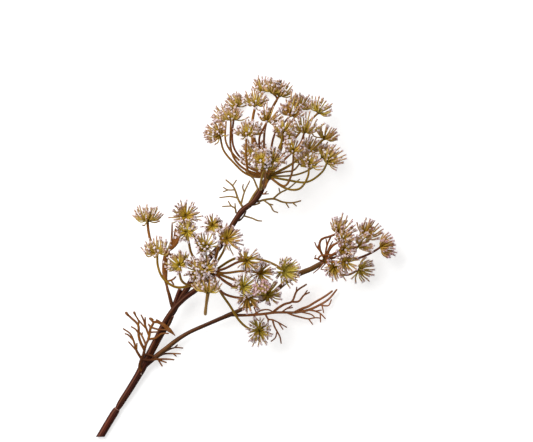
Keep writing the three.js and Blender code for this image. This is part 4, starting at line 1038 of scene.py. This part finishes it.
def fruit_skin():
    """Young dried fruit: gold at its foot, dusky mauve at its tip, with frost grains."""
    material = new_material("dusky_fruit_skin")
    along_colour = coloured_by(material, "along", [
        (0, "#b08c44"), (0.4, "#b48c66"), (0.85, "#b28a7c"), (1, "#ccb8b2"),
    ])
    darkened = tinged(material, along_colour, "tone", 0.5, 1.0, 0.8, "#8e5a50")
    pale = frosted(material, darkened, 0.7, 0.48, 0.7, "#e8dfe4")
    fine = streaks(material, 0.3, 2)
    return finish_material(
        material, pale, fine.outputs["Fac"], 0.08, 0.55, Sheen_Weight=0.1, Sheen_Roughness=0.3,
        Sheen_Tint=colour("#f2dee6"),
    )


def petal_skin():
    """Dried petal: thin, pale and matt, pinker on some florets, with painted shade in faint folds.
    """
    material = new_material("pale_dried_petal")
    faded = coloured_by(material, "tone", [
        (0, "#f4f2f4"), (0.4, "#f2eaec"), (0.8, "#e4d0d4"), (1, "#daa8b4"),
    ])
    fine = streaks(material, 0.25, 1)
    # Painted shade in the faint folds that the same streaks raise as bump
    base = grooved(material, faded, fine, [(0.3, "#e2d8da"), (0.6, "#ffffff")])
    return finish_material(material, base, fine.outputs["Fac"], 0.05, 0.7)


def core_skin():
    """Where rays or pedicels spring from one point: dark olive, rough with their scars, which
    are 0.9 mm wide."""
    material = new_material("dark_olive_core")
    grain = add_node(material, "ShaderNodeAttribute", attribute_name="grain")
    scars = add_node(material, "ShaderNodeTexNoise", {
        "Vector": grain.outputs["Vector"], "Scale": 1 / 0.9, "Detail": 3.0,
    })
    base = add_node(material, "ShaderNodeValToRGB", {"Fac": scars.outputs["Fac"]}, [
        (0.35, "#3c2c08"), (0.5, "#604a10"), (0.66, "#7c621a"),
    ])
    aged = tinged(material, base.outputs["Color"], "tone", 0.8, 1.0, 0.7, "#38240a")
    return finish_material(material, aged, scars.outputs["Fac"], 0.4, 0.6)


def pith_skin():
    """Dry pith, at the cut and under a leaf scar: pale, matt and spongy, with open cells. Real
    cells are finer, and these are 0.3 mm wide so that they show."""
    material = new_material("pale_spongy_pith")
    grain = add_node(material, "ShaderNodeAttribute", attribute_name="grain")
    cells = add_node(material, "ShaderNodeTexVoronoi", {
        "Vector": grain.outputs["Vector"], "Scale": 1 / 0.3,
    })
    base = add_node(material, "ShaderNodeValToRGB", {"Fac": cells.outputs["Distance"]}, [
        (0.1, "#e2d0c0"), (0.5, "#ccb4a0"), (0.8, "#90705c"),
    ])
    return finish_material(material, base.outputs["Color"], cells.outputs["Distance"], 0.15, 0.9)


def thread_leaf(name, shade, middle, light):
    """Dried thread leaf: a matt, lightly grooved thread that curled and browned as it dried,
    and is as dark as the stalk near its root."""
    material = new_material(name)
    fine = streaks(material, 0.5, 6)
    base = add_node(material, "ShaderNodeValToRGB", {"Fac": fine.outputs["Fac"]}, [
        (0.34, shade), (0.5, middle), (0.66, light),
    ])
    withered = tinged(material, base.outputs["Color"], "along", 0.6, 1.0, 0.35, "#84604c")
    rooted = tinged(material, withered, "tone", 0.0, 1.0, 0.9, "#38180a")
    return finish_material(material, rooted, fine.outputs["Fac"], 0.12, 0.6)


STALK = dried_stalk()
PITH = pith_skin()
RAY = ray_skin()
PEDICEL_SKIN = pedicel_skin()
FRUIT_SKIN = fruit_skin()
PETAL = petal_skin()
CORE = core_skin()
LOWER_THREAD = thread_leaf("chestnut_thread_leaf", "#52290e", "#734317", "#8c5c20")
TALL_THREAD = thread_leaf("orange_brown_blade_leaf", "#54300f", "#7a4618", "#966228")
RIGHT_THREAD = thread_leaf("mauve_brown_thread_leaf", "#784626", "#985e36", "#ac7a54")
UPPER_THREAD = thread_leaf("olive_brown_thread_leaf", "#5e4620", "#80642e", "#9a7c46")


# Stems

def grow_stems():
    """The three stalks. Their routes are kept for what has to stay clear of them."""
    main = Growth()
    cut = {"root": WOODY_CUT, "squared": SQUARED_REACH}
    routes = [
        main.strand(place(points), STEM_SIDES, STEM_STEP, section=ribs(*grooves), tip=tip, **root)
        for points, grooves, tip, root in [
            (LOWEST_LENGTH, STEM_RIBS, WORN_SHOULDER, cut),
            (MIDDLE_LENGTH, STEM_RIBS, BLUNT_END, {}),
            (UPPER_LENGTH, STEM_RIBS, ROUND_END, {}),
            (SHEATH_TIP, SHEATH_RIBS, OPEN_SHEATH, {}),
            (DRY_SHEATH, SHEATH_RIBS, BLUNT_END, {}),
        ]
    ]
    main.piece("ribbed_main_stalk", STALK, "stem", "main_stem")
    scar = Growth()
    scar.strand(place(LEAF_SCAR), LEAF_SIDES, SCAR_STEP, root=ROUND_END)
    scar.piece("pale_leaf_scar", PITH, "stem", "main_stem")
    bract = Growth()
    for prong in SMALL_BRACT:
        bract.strand(place(prong), LEAF_SIDES, LEAF_STEP, tone=0)
    bract.piece("small_bract", RIGHT_THREAD, "stem", "main_stem")
    pith = Growth()
    pith.strand(place(LOWEST_LENGTH[:2]) * (1, 1, 1, PITH_SHARE, 1), STEM_SIDES, STEM_STEP,
                root=PITH_FACE, squared=SQUARED_REACH)
    pith.piece("cut_end_pith", PITH, "stem", "main_stem")
    for name, points, slot, node in [
        ("ribbed_middle_stalk", MIDDLE_BRANCH, "stem", "middle_branch"),
        ("ribbed_right_stalk", RIGHT_BRANCH, "branch", "right_branch"),
    ]:
        branch = Growth()
        routes.append(branch.strand(
            place(points), STEM_SIDES, STEM_STEP, section=ribs(*BRANCH_RIBS)))
        branch.piece(name, STALK, slot, node)
    return routes


# Leaves

LEAVES = [
    ("lower_leaf", LOWER_LEAF, LOWER_THREAD),
    ("lower_back_leaf", LOWER_BACK_LEAF, LOWER_THREAD),
    ("tall_leaf", TALL_LEAF, TALL_THREAD),
    ("right_leaf", RIGHT_LEAF, RIGHT_THREAD),
    ("upper_left_leaf", UPPER_LEFT_LEAF, UPPER_THREAD),
    ("upper_joint_leaf", UPPER_JOINT_LEAF, UPPER_THREAD),
    ("hub_leaf", HUB_LEAF, UPPER_THREAD),
    ("inner_right_leaf", INNER_RIGHT_LEAF, UPPER_THREAD),
    ("upper_right_leaf", UPPER_RIGHT_LEAF, UPPER_THREAD),
]


def grow_leaf(node, leaf, material):
    """The threads of one leaf, on the gently waved sheet that it lies along."""
    over, rise = leaf["over"], leaf["rise"]
    dark_place, dark_reach = leaf.get("dark", (over, 1))
    plump = leaf.get("plump", THREAD_PLUMP)
    growth = Growth()
    routes = []
    for root, tip, points in leaf["strands"]:
        rows = []
        for i, (x, y, *height) in enumerate(points):
            level = leaf["height"] + rise[0] * (x - over[0]) + rise[1] * (over[1] - y)
            level += leaf["wave"] * math.sin(x / LEAF_WAVE[0]) * math.sin(y / LEAF_WAVE[1])
            radius = (root + (tip - root) * i / (len(points) - 1)) * plump
            away = math.dist((x, y), dark_place) / dark_reach
            rows.append((x, y, height[0] if height else level, radius, max(1 - away ** 2, 0)))
        routes.append(growth.strand(
            place(rows), LEAF_SIDES, LEAF_STEP, section=ribs(*LEAF_RIBS)))
    growth.piece(node + "_threads", material, "leaf", node)
    return routes


# Umbels

def turn_to(way, spin):
    """The matrix that turns an upright floret to grow along a way, spun about itself."""
    way = unit(way)
    side = level_way(way, FLORET_UPRIGHT)
    ahead = np.cross(way, side)
    first = side * math.cos(spin) + ahead * math.sin(spin)
    return np.column_stack([first, np.cross(way, first), way])


def model_fruit():
    """One young fruit, upright: a small ribbed club."""
    growth = Growth()
    places = np.linspace(0, FRUIT["length"], len(FRUIT["radii"]))
    club = [(0, 0, z, radius) for z, radius in zip(places, FRUIT["radii"])]
    growth.strand(club, FRUIT["sides"], FRUIT["step"], section=ribs(*FRUIT["ribs"]), up=RIGHT,
                  tip=BLUNT_END)
    return growth


def model_petals():
    """The petals of one floret round the domed cushion on its fruit."""
    growth = Growth()
    top = FRUIT["length"]
    growth.ball(top * UP, UP, *CUSHION_RADII, *CUSHION_MESH)
    for i in range(PETALS["count"]):
        turn = 2 * math.pi * i / PETALS["count"]
        out = np.array([math.cos(turn), math.sin(turn)])
        points = [(*(out * reach), top + rise, radius) for reach, rise, radius in PETAL_PROFILE]
        growth.strand(points, PETALS["sides"], PETALS["step"], thin=PETALS["thin"], tip=(),
                      up=np.array([-out[1], out[0], 0]))
    return growth


def pedicel_way(facing, spread, index, count, turn):
    """Ways spread evenly round the way that the umbellet faces. It is open in its middle, most
    of all where it faces up to the light."""
    aside = level_way(facing, UMBELLET_UPRIGHT)
    across = np.cross(facing, aside)
    opening = PEDICEL["open"] + PEDICEL["splay"] * facing[2] ** 2
    rise = 1 - opening - (index + 0.5) / count * (spread - opening)
    reach = math.sqrt(1 - rise * rise)
    angle = index * GOLDEN_ANGLE + turn
    return facing * rise + aside * reach * math.cos(angle) + across * reach * math.sin(angle)


def leaning_tip(core, facing, way, length):
    """A pedicel leans as it grows the way that its umbellet faces."""
    own, faced = PEDICEL["lean"]
    return core + way * length * own + facing * length * faced


def seen_tip(core, facing, tip, length, draw):
    """A tip whose place on the sheet is known, at the height that its pedicel's length gives."""
    x, y, _ = place((*tip, 0))
    level = length ** 2 - (x - core[0]) ** 2 - (y - core[1]) ** 2
    up = 1 if facing[2] > FACES_UP else draw.choice((-1, 1))
    return np.array([x, y, core[2] + up * math.sqrt(max(level, 0))])


def pedicel_points(core, facing, tip, cup, bow):
    """A pedicel starts inside its core, spreads out, and turns up the way that its umbellet
    faces. It is bowed a little, and stays off the surface."""
    way = tip - core
    aside = way - (way @ facing) * facing
    middle = core + way / 2 + (aside - facing * np.linalg.norm(aside)) * cup + bow
    points = np.array([core + way * PEDICEL["start"], middle, tip])
    points[:, 2] = np.maximum(points[:, 2], LOWEST_TIP)
    return points


def is_clear(points, obstacles):
    """Whether a pedicel's outer part passes clear of all stalks and leaves near it."""
    samples = np.vstack([points[1], (points[1] + points[2]) / 2, points[2]])
    gaps = np.linalg.norm(samples[:, None] - obstacles[None, :, :3], axis=2) - obstacles[:, 3]
    return gaps.min(initial=LOOK_ROUND) > CLEARANCE


def pedicel_tips(umbellet, pedicels, core, facing, size, draw):
    """For each pedicel, the tips to try in turn: its own, or ones turned further aside."""
    seen = umbellet.get("tips", [])
    for tip in seen:
        yield [seen_tip(core, facing, tip, PEDICEL["length"] * size * PEDICEL["seen"], draw)]
    count = umbellet.get("count", pedicels) - len(seen)
    spread = umbellet.get("spread", PEDICEL["spread"])
    shortest = PEDICEL["shortest"] - PEDICEL["shorter_up"] * facing[2] ** 2
    for index in range(count):
        length = PEDICEL["length"] * size * draw.uniform(shortest, PEDICEL["longest"])
        turn = draw.uniform(0, PEDICEL["turn"])
        ways = (pedicel_way(facing, spread, index, count, turn + aside) for aside in TURNS_ASIDE)
        yield [leaning_tip(core, facing, way, length) for way in ways]


def grow_floret(points, size, tone, pink, draw, growths):
    """One pedicel with the fruit at its tip, and its petals unless they have dropped."""
    end_way = unit(points[2] - points[1])
    foot = points[2] - end_way * FRUIT["length"] * size
    radii = (PEDICEL["root"], PEDICEL["root"], PEDICEL["tip"])
    growths["pedicels"].strand(np.column_stack([[*points[:2], foot], radii]), PEDICEL["sides"],
                               PEDICEL["step"], tone=tone, tip=())
    turned = turn_to(end_way, draw.uniform(0, 2 * math.pi))
    growths["fruits"].graft(FRUIT_MODEL, foot, turned * size, tone)
    if pink is not None:
        growths["petals"].graft(PETAL_MODEL, foot, turned * size, pink)


def grow_umbellet(umbellet, umbel, draw, obstacles, growths):
    """One umbellet: its core, and pedicels that each carry a fruit with its petals."""
    core = place(umbellet["at"])
    facing = unit(umbellet["faces"])
    size = umbellet.get("size", umbel["size"])
    cup = umbellet.get("cup", PEDICEL["cup"])
    growths["cores"].ball(core, facing, *CORE_RADII, *CORE_MESH, draw.random())
    near = obstacles[np.linalg.norm(obstacles[:, :3] - core, axis=1) < LOOK_ROUND * size]
    for tips in pedicel_tips(umbellet, umbel["pedicels"], core, facing, size, draw):
        bow = np.array([draw.gauss(0, PEDICEL["bow"]) for _ in range(3)])
        ways = (pedicel_points(core, facing, tip, cup, bow) for tip in tips)
        points = next((way for way in ways if is_clear(way, near)), None)
        floret_size = draw.uniform(*FLORET_SIZES)
        tone = umbellet.get("ripe", RIPE) + draw.uniform(-RIPE_SPREAD, RIPE_SPREAD)
        pink = draw.random() * (1 - PINK_SHARE) + umbellet.get("pink", 0) * PINK_SHARE
        bare = draw.random() < umbellet.get("bare", BARE_SHARE)
        if points is not None:
            grow_floret(points, floret_size, tone, None if bare else pink, draw, growths)


def grow_rays(umbel, growths):
    """The hub of an umbel, a ray from it to each umbellet, and the bracts at the hub."""
    growths["cores"].ball(place(umbel["hub"]), UP, *umbel["hub_radii"], *HUB_MESH, tone=1)
    for umbellet in umbel["umbellets"]:
        points = [umbel["hub"], *umbellet["ray"], umbellet["at"]]
        radii = np.linspace(*umbellet.get("ray_radii", umbel["ray_radii"]), len(points))
        growths["rays"].strand(np.column_stack([place(points), radii]), RAY_SIDES, RAY_STEP,
                               tone=umbellet["hue"], section=ribs(*RAY_RIBS))
    for root, tip, points in umbel.get("bracts", []):
        radii = np.linspace(root, tip, len(points))
        growths["rays"].strand(np.column_stack([place(points), radii]), LEAF_SIDES, LEAF_STEP,
                               tone=BRACT_TONE)


FRUIT_MODEL = model_fruit()
PETAL_MODEL = model_petals()
UMBELS = [("top", TOP_UMBEL), ("middle", MIDDLE_UMBEL), ("right", RIGHT_UMBEL)]
SKINS = {
    "cores": CORE, "rays": RAY, "pedicels": PEDICEL_SKIN, "fruits": FRUIT_SKIN, "petals": PETAL,
}

in_the_way = grow_stems()
for node, leaf, skin in LEAVES:
    in_the_way += grow_leaf(node, leaf, skin)
obstacles = np.vstack([route[:, :4] for route in in_the_way])
for name, umbel in UMBELS:
    growths = {kind: Growth() for kind in SKINS}
    grow_rays(umbel, growths)
    draw = random.Random(umbel["seed"])
    for umbellet in umbel["umbellets"]:
        grow_umbellet(umbellet, umbel, draw, obstacles, growths)
    for kind, growth in growths.items():
        growth.piece(f"{name}_umbel_{kind}", SKINS[kind], "umbel", f"{name}_umbel")


# Surface and light, in metres

BOARD_HALF = 4.0
BOARD_DEPTH = 0.0005
BOARD_MOTTLE = 0.2
BOARD_GLOW = 0.64
SURROUND_STRENGTH = 0.36
SOFTBOX = {"place": (-1.0, 0.9, 1.8), "size": 1.7, "energy": 64}


def pale_board():
    """Matt white board, with a faint broad mottle."""
    material = new_material("matt_white_board")
    mottle = add_node(material, "ShaderNodeTexNoise", {
        "Scale": 2 * BOARD_HALF / BOARD_MOTTLE, "Detail": 4.0,
    })
    base = add_node(material, "ShaderNodeValToRGB", {"Fac": mottle.outputs["Fac"]}, [
        (0.3, "#c2c2c2"), (0.7, "#c6c6c6"),
    ])
    return finish_material(
        material, base.outputs["Color"], mottle.outputs["Fac"], 0.05, 0.9,
        Emission_Color=(1, 1, 1, 1), Emission_Strength=BOARD_GLOW,
    )


def lay_surface():
    corners = [(x * BOARD_HALF, y * BOARD_HALF, -BOARD_DEPTH)
               for x, y in [(-1, -1), (1, -1), (1, 1), (-1, 1)]]
    mesh = bpy.data.meshes.new("board")
    mesh.from_pydata(corners, [], [(0, 1, 2, 3)])
    mesh.materials.append(pale_board())
    board = add_object("board", mesh)


def studio_light():
    """An even white surround, and a broad softbox high up at the left."""
    world = bpy.data.worlds.new("soft_surround")
    world.use_nodes = True
    background = world.node_tree.nodes["Background"]
    background.inputs["Color"].default_value = (1, 1, 1, 1)
    background.inputs["Strength"].default_value = SURROUND_STRENGTH
    bpy.context.scene.world = world
    softbox = bpy.data.lights.new("softbox", "AREA")
    softbox.shape = "DISK"
    softbox.size = SOFTBOX["size"]
    softbox.energy = SOFTBOX["energy"]
    lamp = add_object("softbox", softbox)
    lamp.location = SOFTBOX["place"]
    lamp.rotation_mode = "QUATERNION"
    lamp.rotation_quaternion = (-Vector(lamp.location)).to_track_quat("-Z", "Y")
    bpy.context.scene.view_settings.view_transform = "Standard"


lay_surface()
studio_light()
